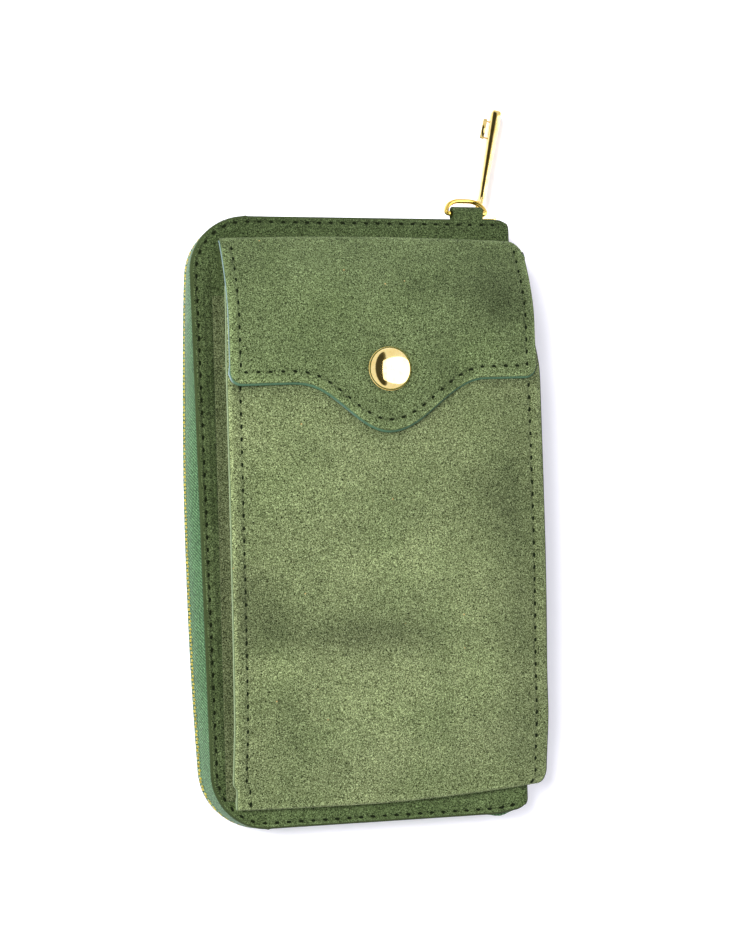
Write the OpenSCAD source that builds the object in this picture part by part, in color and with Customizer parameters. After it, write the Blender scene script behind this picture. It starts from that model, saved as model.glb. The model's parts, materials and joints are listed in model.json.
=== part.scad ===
// Zip-around wristlet wallet lying on its back cover.
// +X points to the spine, +Y to the end with the wrist-strap ring, +Z out of the front pocket.
// The origin is the middle of the back cover's flat outer face. Millimetres.

/* [Covers] */
// Length of the covers
body_l = 200; // [190:1:210]
// Width of the covers, from the zip side to the spine fold
cover_w = 110.5; // [106:0.5:116]
// Radius of the two corners that the zip runs round
corner_r = 19; // [14:1:22]
// Radius of the two corners beside the spine
spine_corner_r = 4; // [2:0.5:6]
// Thickness of the suede
suede_t = 0.9; // [0.7:0.1:1.2]
// Thickness of the stiffening board
board_t = 1.1; // [0.8:0.1:1.4]
// Thickness of the lining cloth
lining_t = 0.4; // [0.3:0.1:0.5]
// Height between the covers' inner faces
inside_h = 11.6; // [11:0.2:13]

/* [Zip] */
// Distance from one tooth to the next in one row
tooth_pitch = 2.54; // [2.4:0.02:3.2]
// Length of a tooth along the row
tooth_l = 1.1; // [0.9:0.05:1.2]
// Thickness of the teeth across the tape
tooth_t = 2.4; // [2:0.1:2.6]
// Thickness of the zip tape
tape_t = 0.6; // [0.4:0.05:0.6]
// How far the zip bulges out of the covers at the middle of the long side
side_bulge = 3.2; // [0:0.2:4]
// Length of the slider
slider_l = 12; // [11:0.5:13]
// Length of the flat puller beyond its hinge
puller_l = 38; // [28:1:40]

/* [Phone pocket] */
// Left edge of the pocket
pocket_x0 = -47.3; // [-48:0.1:-44]
// Right edge of the pocket's front panel
pocket_x1 = 58; // [56:0.5:58]
// Half length of the pocket's back panel
pocket_half = 93.5; // [90:0.5:95]
// Height of the pocket's front face above the covers
pocket_h = 10.6; // [9:0.1:11]
// Where the mouth of the pocket ends
mouth_y = 76; // [70:1:78]

/* [Flap] */
// Line where the flap is sewn to the cover
flap_y = 93; // [92:0.5:94]
// Where the flap's side corners end
flap_side_y = 44; // [40:1:48]
// How far the tongue hangs below the side corners
tongue_l = 16.5; // [12:0.5:20]
// Half width of the tongue where it meets the straight edge
tongue_w = 33; // [28:1:36]
// Middle of the tongue and of the snap
snap_x = 6.3; // [4:0.1:8]
// Distance of the snap from the middle of the wallet
snap_y = 48; // [46:0.5:50]
// Radius of the snap's cap
snap_r = 7; // [5:0.5:7.5]

/* [Ring] */
// Middle of the ring and its tab
ring_x = 39.4; // [36:0.1:40]
// Outer width of the ring
ring_w = 15.3; // [14:0.1:16]
// Outer depth of the ring
ring_d = 7; // [6.5:0.1:8]
// Radius of the ring's wire
wire_r = 0.8; // [0.8:0.05:1]
// Angle that the ring droops
ring_droop = 30; // [20:1:32]

/* [Inside] */
// Number of card slots in each column
slot_count = 4; // [2:1:4]
// Step from one card slot's edge to the next
slot_step = 12; // [9:1:14]
// Thickness of a card slot's cloth
slot_t = 0.4; // [0.3:0.05:0.45]
// Distance of the coin zip from the middle of the wallet
coin_x = -36; // [-38:1:-30]
// Half length of the coin zip
coin_half = 82; // [70:1:84]

/* [Hidden] */

// Colours
suede_c = "#7d8a5a";
cover_c = "#5a6642";
lining_c = "#4a4a3a";
board_c = "#b9a98a";
tape_c = "#6ea078";
gold_c = "#d9b45a";

// Heights of the layers
cover_t = suede_t + board_t + lining_t;
front_z0 = cover_t + inside_h;
front_z1 = front_z0 + cover_t;
mid_z = (cover_t + front_z0) / 2;

// Plan of the covers
half_l = body_l / 2;
zip_x = -cover_w / 2 + 0.25;
spine_x = cover_w / 2 + 0.25;
board_inset = 2.4;
lining_inset = 1.8;

// Spine and its two folds
spine_out_x = spine_x + 2.5;
spine_gap = 1.6;
fold_z0 = cover_t / 2;
fold_z1 = front_z1 - cover_t / 2;

// Zip chain
tape_inset = 0.8;
tape_edge = 1.6;
tape_end_x = spine_x - 3.5;
first_tooth_x = spine_x - 9.5;
tooth_reach = 2.4;
tooth_cross = 0.8;
chain_y = half_l - tape_inset - tape_t / 2;
straight_l = first_tooth_x - (zip_x + corner_r);
arc_l = PI / 2 * corner_r;
side_l = body_l - 2 * corner_r;
chain_l = 2 * straight_l + 2 * arc_l + side_l;
teeth_n = floor(chain_l / tooth_pitch);
stations = 64;

// Slider
slider_x = first_tooth_x + 5.5;
slider_w = 8.4;
plate_t = 1;
plate_gap = 1.35;
flange_gap = 0.6;
flange_z = 2.7;
bar_r = 0.75;
hinge_x = slider_x - slider_l / 2;
hinge_y = chain_y + plate_gap + plate_t + bar_r + 0.25;
puller_lean = 14;

// Pocket and flap
panel_t = 1.4;
flap_t = 1.4;
flap_z = front_z1 + 14;
flap_z0 = front_z1 + 0.3 + flap_t;
flap_rise = 31;
pocket_z0 = front_z1 + 0.8;
pocket_z1 = front_z1 + pocket_h;
wall_t = 0.8;

// Ring
pivot_y = half_l + 1.8;
pivot_z = front_z0 + lining_t + board_t / 2;
tab_w = 10.8;
tab_bore_r = wire_r + 0.15;

// Coin zip
coin_z = front_z0 - 1.35;
coin_slider_l = 9;
coin_slider_y = coin_half - 2;
coin_gap = 0.85;
coin_plate_t = 0.4;
coin_bar_r = 0.5;
coin_puller_l = 12;
coin_droop = 24;
coin_hinge_y = coin_slider_y - coin_slider_l / 2;
coin_hinge_z = coin_z - coin_gap - coin_plate_t - coin_bar_r - 0.15;

// Points on an arc about a centre
function arc(cx, cy, r, a0, a1, n = 14) =
    [for (i = [0 : n]) let (a = a0 + (a1 - a0) * i / n) [cx + r * cos(a), cy + r * sin(a)]];

// Outline of a cover, pulled in by an inset
function cover_points(inset) =
    let (r = corner_r - inset, x0 = zip_x + corner_r, x1 = spine_x - inset, y = half_l - inset,
         rs = spine_corner_r)
    concat(arc(x0, half_l - corner_r, r, 90, 180), arc(x0, corner_r - half_l, r, 180, 270),
           arc(x1 - rs, rs - y, rs, 270, 360, 6), arc(x1 - rs, y - rs, rs, 0, 90, 6));

// A flat sheet with a cover's outline
module sheet(inset, z, t) {
    translate([0, 0, z]) linear_extrude(t) polygon(cover_points(inset));
}

// Bulge of the zip beside the covers, at a place along the long side
function bulge(y) = side_bulge * (1 - pow(y / half_l, 2));

// A place on the covers' edge: [x, y, angle of the outward normal, bulge], s from the ring end
function along(s) =
    let (a = s - straight_l, b = a - arc_l, c = b - side_l, d = c - arc_l,
         cx = zip_x + corner_r, cy = half_l - corner_r, edge = bulge(cy))
    a < 0 ? [first_tooth_x - s, half_l, 90, 0] :
    b < 0 ? let (t = 90 * a / arc_l)
        [cx - corner_r * sin(t), cy + corner_r * cos(t), 90 + t, edge * (1 - cos(t))] :
    c < 0 ? [zip_x, cy - b, 180, bulge(cy - b)] :
    d < 0 ? let (t = 90 * c / arc_l)
        [cx - corner_r * cos(t), -cy - corner_r * sin(t), 180 + t, edge * (1 - sin(t))] :
    [cx + d, -half_l, 270, 0];

// A point beside the covers' edge, out along the normal and up
function beside(p, out, z) = [p[0] + out * cos(p[2]), p[1] + out * sin(p[2]), z];

// One half of the zip tape as a wall that leans from the cover's edge to its teeth
module tape_wall(z_sewn, z_teeth) {
    run = tape_end_x - first_tooth_x;
    path = [for (i = [0 : stations]) along(-run + (chain_l + 2 * run) * i / stations)];
    section = [[0, 0], [1, 0], [1, 1], [0, 1]];
    n = len(section);
    points = [for (p = path) for (q = section)
        beside(p, p[3] * q[0] - tape_inset - tape_t * q[1], z_sewn + (z_teeth - z_sewn) * q[0])];
    sides = [for (i = [0 : stations - 1]) for (k = [0 : n - 1]) let (m = (k + 1) % n)
        for (f = [[i * n + k, i * n + m, (i + 1) * n + m], [i * n + k, (i + 1) * n + m, (i + 1) * n + k]])
        z_teeth > z_sewn ? f : [f[2], f[1], f[0]]];
    first = [for (k = [0 : n - 1]) n - 1 - k];
    last = [for (k = [0 : n - 1]) stations * n + k];
    ends = z_teeth > z_sewn ? [first, last] : [[for (k = first) n - 1 - k], [for (k = first) stations * n + k]];
    polyhedron(points, concat(sides, ends));
}

// One row of teeth, starting part of a pitch along the chain
module teeth_row(start, z) {
    for (i = [0 : teeth_n - 1]) {
        p = along(start + i * tooth_pitch);
        translate(beside(p, p[3] - tape_inset - tape_t / 2, z))
            rotate([0, 0, p[2]])
                cube([tooth_t, tooth_l, tooth_reach + tooth_cross], center = true);
    }
}

// Back half

module back_suede() {
    color(cover_c) sheet(0, 0, suede_t);
}

module back_board() {
    color(board_c) sheet(board_inset, suede_t, board_t);
}

module back_lining() {
    color(lining_c) sheet(lining_inset, suede_t + board_t, lining_t);
}

module back_zip_tape() {
    color(tape_c) tape_wall(suede_t, mid_z - tape_edge);
}

module back_zip_teeth() {
    color(gold_c) teeth_row(0, mid_z - (tooth_reach - tooth_cross) / 2);
}

module zip_stops() {
    stop_l = 2.4;
    stop_h = 2.4;
    color(gold_c)
        translate([first_tooth_x + 1.2, -chain_y - tooth_t / 2, mid_z - tape_edge - 0.8])
            cube([stop_l, tooth_t, stop_h]);
}

module bill_divider() {
    color(lining_c)
        translate([zip_x + 14, -pocket_half, cover_t])
            cube([spine_x - zip_x - 20, 2 * pocket_half, slot_t]);
}

// A pair of card slots side by side, each sheet shorter than the one under it
module card_slots(k) {
    slot_gap = 0.1;
    x0 = zip_x + 22 + slot_step * (k - 1);
    for (y = [-pocket_half, 1])
        translate([x0, y, cover_t + slot_t + slot_gap + (k - 1) * (slot_t + slot_gap)])
            cube([spine_x - 6 - x0, pocket_half - 1, slot_t]);
}

module card_slots_1() { color(cover_c) card_slots(1); }
module card_slots_2() { color(cover_c) card_slots(2); }
module card_slots_3() { color(cover_c) card_slots(3); }
module card_slots_4() { color(cover_c) card_slots(4); }

// Spine

module spine_sheet(x, t, half) {
    translate([x, -half, fold_z0 + spine_gap])
        cube([t, 2 * half, fold_z1 - fold_z0 - 2 * spine_gap]);
}

module spine_suede() {
    color(cover_c) spine_sheet(spine_out_x - suede_t, suede_t, half_l - 3);
}

module spine_lining() {
    color(lining_c) spine_sheet(spine_out_x - 2 * suede_t, suede_t, half_l - 5);
}

// Front half

module front_suede() {
    color(cover_c) sheet(0, front_z1 - suede_t, suede_t);
}

// Room that the ring tab takes between the suede and the lining
module tab_room(play) {
    translate([ring_x - tab_w / 2 - play, half_l - 11 - play, front_z0 + lining_t - play])
        cube([tab_w + 2 * play, 13 + play, board_t + 2 * play]);
}

module front_board() {
    color(board_c)
        difference() {
            sheet(board_inset, front_z0 + lining_t, board_t);
            tab_room(0.2);
        }
}

module front_lining() {
    color(lining_c) sheet(lining_inset, front_z0, lining_t);
}

module front_zip_tape() {
    color(tape_c)
        difference() {
            tape_wall(front_z1 - suede_t, mid_z + tape_edge);
            tab_room(0.1);
        }
}

module front_zip_teeth() {
    color(gold_c) teeth_row(tooth_pitch / 2, mid_z + (tooth_reach - tooth_cross) / 2);
}

module ring_tab() {
    loop_r = tab_bore_r + board_t / 2;
    color(suede_c)
        difference() {
            union() {
                translate([ring_x - tab_w / 2, half_l - 11, front_z0 + lining_t])
                    cube([tab_w, 12.2, board_t]);
                translate([ring_x - tab_w / 2, pivot_y, pivot_z])
                    rotate([0, 90, 0]) cylinder(r = loop_r, h = tab_w, $fn = 48);
            }
            translate([ring_x - tab_w / 2 - 1, pivot_y, pivot_z])
                rotate([0, 90, 0]) cylinder(r = tab_bore_r, h = tab_w + 2, $fn = 48);
        }
}

// Coin pouch panel inside the front cover, with a slot for its zip
module coin_panel() {
    panel_h = 0.6;
    color(cover_c)
        difference() {
            translate([zip_x + 12, -pocket_half, front_z0 - 1.1 + 0.05])
                cube([spine_x - zip_x - 18, 2 * pocket_half, panel_h]);
            translate([coin_x - 4.5, -coin_half - 1, front_z0 - 2])
                cube([9, 2 * coin_half + 2, 3]);
        }
}

module coin_zip_tape() {
    strip_t = 0.5;
    color(tape_c)
        for (x = [coin_x - 7, coin_x + tape_edge])
            translate([x, -coin_half - 4, coin_z - strip_t / 2])
                cube([7 - tape_edge, 2 * coin_half + 8, strip_t]);
}

module coin_zip_teeth() {
    coin_pitch = 2.5;
    n = floor(2 * (coin_half - 8) / coin_pitch);
    color(gold_c)
        for (side = [-1, 1])
            for (i = [0 : n - 1])
                translate([coin_x + side * 0.85, -coin_half + 9 + (i + side / 4) * coin_pitch, coin_z])
                    cube([2.1, 1, 1.4], center = true);
}

// Height of the flap's outer face
function flap_top(y) = flap_z0 + (flap_z - flap_z0) * sin(90 * min(1, (flap_y - y) / flap_rise));

// Height of the pocket's outer face, which falls to the fold at the bottom and dips under the flap
function pocket_top(y) =
    let (fall = 4.6 * pow(max(0, (40 - y) / (40 + pocket_half)), 2.5),
         end = max(0, (-pocket_half + 11 - y) / 11))
    min(pocket_z0 + (pocket_z1 - fall - pocket_z0) * sqrt(max(0, 1 - end * end)),
        flap_top(y) - flap_t - 0.3);

// Profile of the pocket's front between two depths under its outer face
module pocket_profile(d0, d1) {
    steps = 40;
    y0 = d0 - pocket_half;
    y1 = d1 - pocket_half;
    upper = [for (i = [0 : steps]) let (y = mouth_y + (y0 - mouth_y) * pow(i / steps, 0.7))
        [y, max(pocket_z0, pocket_top(y - d0) - d0)]];
    lower = [for (i = [steps : -1 : 0]) let (y = mouth_y + (y1 - mouth_y) * pow(i / steps, 0.7))
        [y, max(pocket_z0, pocket_top(y - d1) - d1)]];
    rotate([90, 0, 90]) linear_extrude(120, center = true) polygon(concat(upper, lower));
}

// Plan of the pocket, rounded at the bottom corner beside the spine
module pocket_plan(inset) {
    r = 6;
    x0 = pocket_x0 + inset;
    x1 = pocket_x1 - inset;
    y0 = -pocket_half - 1;
    linear_extrude(60) polygon(concat([[x1, mouth_y + 1], [x0, mouth_y + 1]], arc(x0 + 1, y0 + 1, 1, 180, 270, 4),
                                      arc(x1 - r, y0 + r, r, 270, 360, 8)));
}

module pocket_back() {
    color(suede_c)
        translate([pocket_x0 + 0.6, -pocket_half, front_z1])
            cube([spine_x - pocket_x0 - 2, pocket_half + flap_y - 3, pocket_z0 - front_z1]);
}

// A side wall of the pocket, as high as the front panel's inner face
module gusset(x) {
    steps = 30;
    y0 = -pocket_half + 12;
    y1 = mouth_y - 1;
    top = [for (i = [0 : steps]) let (y = y1 + (y0 - y1) * i / steps)
        [y, max(pocket_z0 + 0.2, pocket_top(y) - panel_t - lining_t - 0.1)]];
    translate([x, 0, 0])
        rotate([90, 0, 90]) linear_extrude(wall_t) polygon(concat([[y0, pocket_z0], [y1, pocket_z0]], top));
}

module gusset_left() {
    color(suede_c) gusset(pocket_x0 + 0.6);
}

module gusset_right() {
    color(suede_c) gusset(spine_x - 2.2);
}

module stud_hole(r) {
    translate([snap_x, snap_y, front_z1]) cylinder(r = r, h = 20, $fn = 48);
}

module pocket_front() {
    color(suede_c)
        difference() {
            intersection() {
                pocket_profile(0, panel_t);
                pocket_plan(0);
            }
            stud_hole(1.25);
        }
}

module pocket_lining() {
    color(lining_c)
        difference() {
            intersection() {
                pocket_profile(panel_t, panel_t + lining_t);
                pocket_plan(0.4);
            }
            stud_hole(1.25);
        }
}

// Ball half of the snap, riveted through the pocket's front
module snap_stud() {
    inner_z = pocket_z1 - panel_t - lining_t;
    color(gold_c)
        translate([snap_x, snap_y, 0])
            rotate_extrude($fn = 64)
                polygon([[0, inner_z - 0.8], [4, inner_z - 0.8], [4, inner_z - 0.1], [1.2, inner_z - 0.1],
                         [1.2, pocket_z1 + 0.05], [4.5, pocket_z1 + 0.05], [4.5, pocket_z1 + 0.45],
                         [1.4, pocket_z1 + 0.45], [1.4, pocket_z1 + 0.65], [1.9, pocket_z1 + 0.9],
                         [1.6, pocket_z1 + 1.2], [0, pocket_z1 + 1.2]]);
}

// Flap

// Lower edge of the flap, with its tongue
function scallop(x) =
    let (u = abs(x - snap_x) / tongue_w)
    flap_side_y - (u < 1 ? tongue_l * (1 + cos(180 * u)) / 2 : 0);

module flap_plan(inset) {
    steps = 48;
    r = 3;
    x0 = pocket_x0 + 0.8 + inset;
    x1 = pocket_x1 - 0.8 - inset;
    edge = [for (i = [0 : steps]) let (x = x0 + r + (x1 - x0 - 2 * r) * i / steps) [x, scallop(x) + inset]];
    linear_extrude(60) polygon(concat([[x0, flap_y + 1]], arc(x0 + r, flap_side_y + inset + r, r, 180, 265, 5), edge,
                                      arc(x1 - r, flap_side_y + inset + r, r, 275, 360, 5), [[x1, flap_y + 1]]));
}

// Profile of the flap between two depths under its outer face
module flap_profile(d0, d1) {
    steps = 28;
    y_end = flap_side_y - tongue_l - 2;
    outer = [for (i = [0 : steps]) let (y = flap_y + (y_end - flap_y) * pow(i / steps, 1.5))
        [y, flap_top(y) - d0]];
    inner = [for (i = [steps : -1 : 0]) let (y = flap_y + (y_end - flap_y) * pow(i / steps, 1.5))
        [y, flap_top(y) - d1]];
    rotate([90, 0, 90]) linear_extrude(120, center = true) polygon(concat(outer, inner));
}

module flap_suede() {
    color(suede_c)
        difference() {
            intersection() {
                flap_profile(0, suede_t);
                flap_plan(0);
            }
            stud_hole(1.25);
        }
}

module flap_lining() {
    color(lining_c)
        difference() {
            intersection() {
                flap_profile(suede_t, flap_t);
                flap_plan(0.4);
            }
            stud_hole(1.25);
        }
}

// Domed cap of the snap, with its rivet through the flap
module snap_cap() {
    cap_h = 2.6;
    dome_r = (snap_r * snap_r + cap_h * cap_h) / (2 * cap_h);
    rim = 0.3;
    color(gold_c)
        translate([snap_x, snap_y, flap_z + 0.05])
            union() {
                intersection() {
                    translate([0, 0, cap_h + rim - dome_r]) sphere(r = dome_r, $fn = 96);
                    cylinder(r = snap_r, h = cap_h + rim, $fn = 96);
                }
                translate([0, 0, -flap_t - 0.6]) cylinder(r = 1.2, h = flap_t + 0.8, $fn = 48);
            }
}

// Spring half of the snap, under the flap
module snap_socket() {
    color(gold_c)
        translate([snap_x, snap_y, flap_z - flap_t - 1.4])
            difference() {
                cylinder(r = 4.6, h = 1.35, $fn = 64);
                translate([0, 0, -1]) cylinder(r = 2.6, h = 1.75, $fn = 48);
                cylinder(r = 1.25, h = 2, $fn = 48);
            }
}

// Ring, drawn flat about its straight side and then drooped
module d_ring() {
    w = ring_w / 2 - wire_r;
    d = ring_d - 2 * wire_r;
    bend = d - 0.2;
    color(gold_c)
        translate([ring_x, pivot_y, pivot_z])
            rotate([-ring_droop, 0, 0])
                union() {
                    translate([-w, 0, 0]) rotate([0, 90, 0]) cylinder(r = wire_r, h = 2 * w, $fn = 32);
                    for (side = [-1, 1]) {
                        translate([side * w, 0, 0]) sphere(r = wire_r, $fn = 32);
                        translate([side * w, 0, 0])
                            rotate([-90, 0, 0]) cylinder(r = wire_r, h = d - bend, $fn = 32);
                        translate([side * (w - bend), d - bend, 0])
                            rotate([0, 0, side > 0 ? 0 : 90])
                                rotate_extrude(angle = 90, $fn = 64)
                                    translate([bend, 0]) circle(r = wire_r, $fn = 32);
                    }
                    translate([bend - w, d, 0])
                        rotate([0, 90, 0]) cylinder(r = wire_r, h = 2 * (w - bend), $fn = 32);
                }
}

// Outline of a slider's plate, wide at the nose and narrow at the tail
function plate_points(l, w) =
    concat([[0, -w / 2 + 1.2], [-1.2, -w / 2]], arc(1.4 - l, 1.4 - 0.4 * w, 1.4, 270, 180, 5),
           arc(1.4 - l, 0.4 * w - 1.4, 1.4, 180, 90, 5), [[-1.2, w / 2], [0, w / 2 - 1.2]]);

// A slider about its chain: x along the chain, y through the tape, z across the chain
module slider(l, w, gap, t, flange, play) {
    flange_w = 0.9;
    for (y = [-gap - t, gap])
        translate([0, y + t, 0]) rotate([90, 0, 0]) linear_extrude(t) polygon(plate_points(l, w));
    for (y = [-gap, play]) for (z = [-flange - flange_w, flange])
        translate([2 - l, y, z]) cube([l - 4.2, gap - play, flange_w]);
    translate([-1.7, gap + 0.1, 0])
        rotate([90, 0, 0]) cylinder(r = 1.1, h = 2 * gap + 0.2, $fn = 32);
}

// Arch on a slider's outer face that holds its puller's bar
module arch(x, y, room, bar_r, w) {
    reach = 2 * bar_r + room;
    wall = 1;
    half = bar_r + 1.3;
    translate([x, y, -w / 2])
        linear_extrude(w)
            difference() {
                polygon([[-half - wall - 0.6, -0.1], [-half - 0.3, reach + 0.5], [0.5 - half, reach + wall],
                         [half - 0.5, reach + wall], [half + 0.3, reach + 0.5], [half + wall + 0.6, -0.1]]);
                translate([-half, 0]) square([2 * half, reach]);
            }
}

module zip_slider() {
    color(gold_c)
        translate([slider_x, chain_y, mid_z])
            union() {
                slider(slider_l, slider_w, plate_gap, plate_t, flange_z, flange_gap);
                arch(-slider_l / 2, plate_gap + plate_t, 0.5, bar_r, 1.6);
            }
}

module zip_puller() {
    root = 5;
    color(gold_c)
        translate([hinge_x, hinge_y, mid_z])
            rotate([0, 0, -puller_lean])
                union() {
                    translate([0, 0, -2.6]) cylinder(r = bar_r, h = 5, $fn = 32);
                    for (z = [-2.6, 1.4])
                        translate([-0.6, 0, z]) cube([1.2, root + 1, 1]);
                    intersection() {
                        linear_extrude(40, center = true)
                            polygon([[-0.6, root], [-1.1, puller_l - 1], [-0.7, puller_l], [0.7, puller_l],
                                     [1.1, puller_l - 1], [0.6, root]]);
                        rotate([90, 0, 90])
                            linear_extrude(10, center = true)
                                polygon([[root, -2.6], [puller_l - 1.5, -7.6], [puller_l, -6.6],
                                         [puller_l, -1.9], [puller_l - 1.5, -0.9], [root, 2.4]]);
                    }
                    // Staple on one face for a pull cord
                    translate([-2.6, puller_l - 10.4, -4.7]) cube([0.7, 7.3, 0.8]);
                    for (y = [puller_l - 10.4, puller_l - 3.9])
                        translate([-2.6, y, -4.7]) cube([2.2, 0.8, 0.8]);
                }
}

// Coin zip's slider and puller, at the end beside the ring

module coin_slider() {
    color(gold_c)
        translate([coin_x, coin_slider_y, coin_z])
            rotate([0, 0, 90]) rotate([-90, 0, 0])
                union() {
                    slider(coin_slider_l, 6.4, coin_gap, coin_plate_t, 2.2, 0.45);
                    arch(-coin_slider_l / 2, coin_gap + coin_plate_t, 0.3, coin_bar_r, 1);
                }
}

module coin_puller() {
    arm = 3.4;
    arm_w = 0.8;
    half = 2;
    t = 0.7;
    color(gold_c)
        translate([coin_x, coin_hinge_y, coin_hinge_z])
            rotate([coin_droop, 0, 0])
                union() {
                    translate([-half, 0, 0]) rotate([0, 90, 0]) cylinder(r = coin_bar_r, h = 2 * half, $fn = 32);
                    for (x = [-half, half - arm_w]) translate([x, -arm - 0.5, -t / 2]) cube([arm_w, arm + 0.5, t]);
                    translate([-half, -coin_puller_l, -t / 2]) cube([2 * half, coin_puller_l - arm, t]);
                }
}

back_suede();
back_board();
back_lining();
back_zip_tape();
back_zip_teeth();
zip_stops();
bill_divider();
card_slots_1();
card_slots_2();
card_slots_3();
card_slots_4();
spine_suede();
spine_lining();
front_suede();
front_board();
front_lining();
front_zip_tape();
front_zip_teeth();
ring_tab();
coin_panel();
coin_zip_tape();
coin_zip_teeth();
pocket_back();
gusset_left();
gusset_right();
pocket_front();
pocket_lining();
snap_stud();
flap_suede();
flap_lining();
snap_cap();
snap_socket();
d_ring();
zip_slider();
zip_puller();
coin_slider();
coin_puller();
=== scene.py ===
import json
import math
import random

import bpy
import numpy as np
from mathutils import Matrix, Vector, noise


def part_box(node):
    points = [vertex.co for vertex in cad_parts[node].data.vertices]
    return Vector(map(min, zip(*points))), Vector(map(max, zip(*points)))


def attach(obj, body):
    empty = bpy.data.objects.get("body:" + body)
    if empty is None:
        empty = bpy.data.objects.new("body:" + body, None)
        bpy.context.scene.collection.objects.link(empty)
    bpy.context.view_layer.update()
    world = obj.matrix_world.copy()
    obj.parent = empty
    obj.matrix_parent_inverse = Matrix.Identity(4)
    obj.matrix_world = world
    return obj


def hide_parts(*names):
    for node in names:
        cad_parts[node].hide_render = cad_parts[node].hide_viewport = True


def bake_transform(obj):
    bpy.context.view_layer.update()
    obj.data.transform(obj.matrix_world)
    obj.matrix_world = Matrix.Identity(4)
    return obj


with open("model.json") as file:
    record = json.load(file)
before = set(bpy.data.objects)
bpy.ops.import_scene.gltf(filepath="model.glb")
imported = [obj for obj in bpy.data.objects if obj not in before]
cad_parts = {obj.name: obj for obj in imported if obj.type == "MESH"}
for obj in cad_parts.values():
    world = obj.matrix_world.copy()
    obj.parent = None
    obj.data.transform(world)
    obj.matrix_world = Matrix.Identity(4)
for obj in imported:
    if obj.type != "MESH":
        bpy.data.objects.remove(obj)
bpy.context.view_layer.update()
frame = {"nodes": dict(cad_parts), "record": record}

# Everything below is worked out in millimetres and turned into metres when a mesh is made.
MM = 0.001
rng = random.Random(7)


def box_mm(cad):
    low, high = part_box(cad)
    return np.array(low) / MM, np.array(high) / MM


def joint_mm(name):
    """Where a joint of the record sits."""
    for joint in frame["record"]["behaviour"]["joints"]:
        if joint["name"] == name:
            return np.array(joint["pos_m"]) / MM
    return None


FRONT_LO, FRONT_HI = box_mm("front_suede")
BACK_LO, BACK_HI = box_mm("back_suede")
FRONT_LINING_Z = box_mm("front_lining")[0][2]
BACK_LINING_Z = box_mm("back_lining")[1][2]
SPINE_X = box_mm("spine_suede")[1][0]
SPINE_LINING_X = box_mm("spine_lining")[0][0]
POCKET_LO, POCKET_HI = box_mm("pocket_front")
POCKET_BACK_LO, POCKET_BACK_HI = box_mm("pocket_back")
FLAP_LO, FLAP_HI = box_mm("flap_suede")
CAP_LO, CAP_HI = box_mm("snap_cap")
RING_LO, RING_HI = box_mm("d_ring")
TAB_LO, TAB_HI = box_mm("ring_tab")

# Plan of the covers
ZIP_X = FRONT_LO[0]
COVER_X1 = FRONT_HI[0]
HALF_L = FRONT_HI[1]
CORNER_R = 19.0
CORNER_X = ZIP_X + CORNER_R
CORNER_Y = HALF_L - CORNER_R
FRONT_TOP = FRONT_HI[2]
MID_Z = (BACK_LINING_Z + FRONT_LINING_Z) / 2
FRONT_COVER_T = 2.0
SUEDE_T = 0.9
LINING_T = 0.4
STITCH_INSET = 2.2
STITCH_PITCH = 4.0
SEAM_END_X = 50.5
SHEET_SAG = 0.036

# Zip
TAPE_INSET = 0.8
TAPE_T = 0.6
TAPE_EDGE = 1.6
SIDE_BULGE = 3.2
FIRST_TOOTH_X = box_mm("back_zip_teeth")[1][0] - 0.55
TOOTH_PITCH = 2.54
TOOTH_FOOT = 2.4
TAPE_END_X = box_mm("back_zip_tape")[1][0]
PULLER_LEAN = math.radians(14)
PULLER_ROOT = 5.0

# Pocket and flap
SNAP_X = (CAP_LO[0] + CAP_HI[0]) / 2
SNAP_Y = (CAP_LO[1] + CAP_HI[1]) / 2
FLAP_Y = FLAP_HI[1]
FLAP_TOP_Z = FLAP_HI[2]
FLAP_RISE = 31.0
FLAP_BASE_Z = FRONT_TOP + 1.7
FLAP_SIDE_Y = 44.0
FLAP_SEAM = 3.0
TONGUE_L = 16.5
TONGUE_W = 33.0
POCKET_TOP_Z = POCKET_HI[2]
POCKET_LEFT = POCKET_LO[0]
POCKET_RIGHT = POCKET_HI[0]
POCKET_FOOT = POCKET_LO[1]
MOUTH_Y = POCKET_HI[1]
POCKET_SEAM = 4.0
FOLD_R = 1.5


# ---------------------------------------------------------------- camera, light and floor

CAMERA_TARGET = (4.16, 13.95, 16.4)
CAMERA_DISTANCE = 703.2
CAMERA_FROM_LEFT = math.radians(15.98)
CAMERA_FROM_FOOT = math.radians(2.435)
CAMERA_ROLL = math.radians(-1.795)
CAMERA_LENS = 80.6

# The dark strip overhead: its middle and half sizes as slopes x/z and y/z from the wallet
STRIP_X, STRIP_HALF_X, STRIP_HALF_Y = -0.26, 0.38, 1.7


def make_camera():
    a, e, r = CAMERA_FROM_LEFT, CAMERA_FROM_FOOT, CAMERA_ROLL
    out = Vector((-math.sin(a) * math.cos(e), -math.sin(e), math.cos(a) * math.cos(e)))
    right = (-out).cross(Vector((0, 1, 0))).normalized()
    up = right.cross(-out)
    x = right * math.cos(r) + up * math.sin(r)
    y = up * math.cos(r) - right * math.sin(r)
    place = Matrix((x, y, out)).transposed().to_4x4()
    place.translation = (Vector(CAMERA_TARGET) + out * CAMERA_DISTANCE) * MM
    camera = bpy.data.objects.new("camera", bpy.data.cameras.new("camera"))
    camera.data.sensor_fit = "VERTICAL"
    camera.data.sensor_height = 36
    camera.data.lens = CAMERA_LENS
    camera.data.clip_start = 0.01
    camera.matrix_world = place
    bpy.context.scene.collection.objects.link(camera)
    bpy.context.scene.camera = camera


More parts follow.
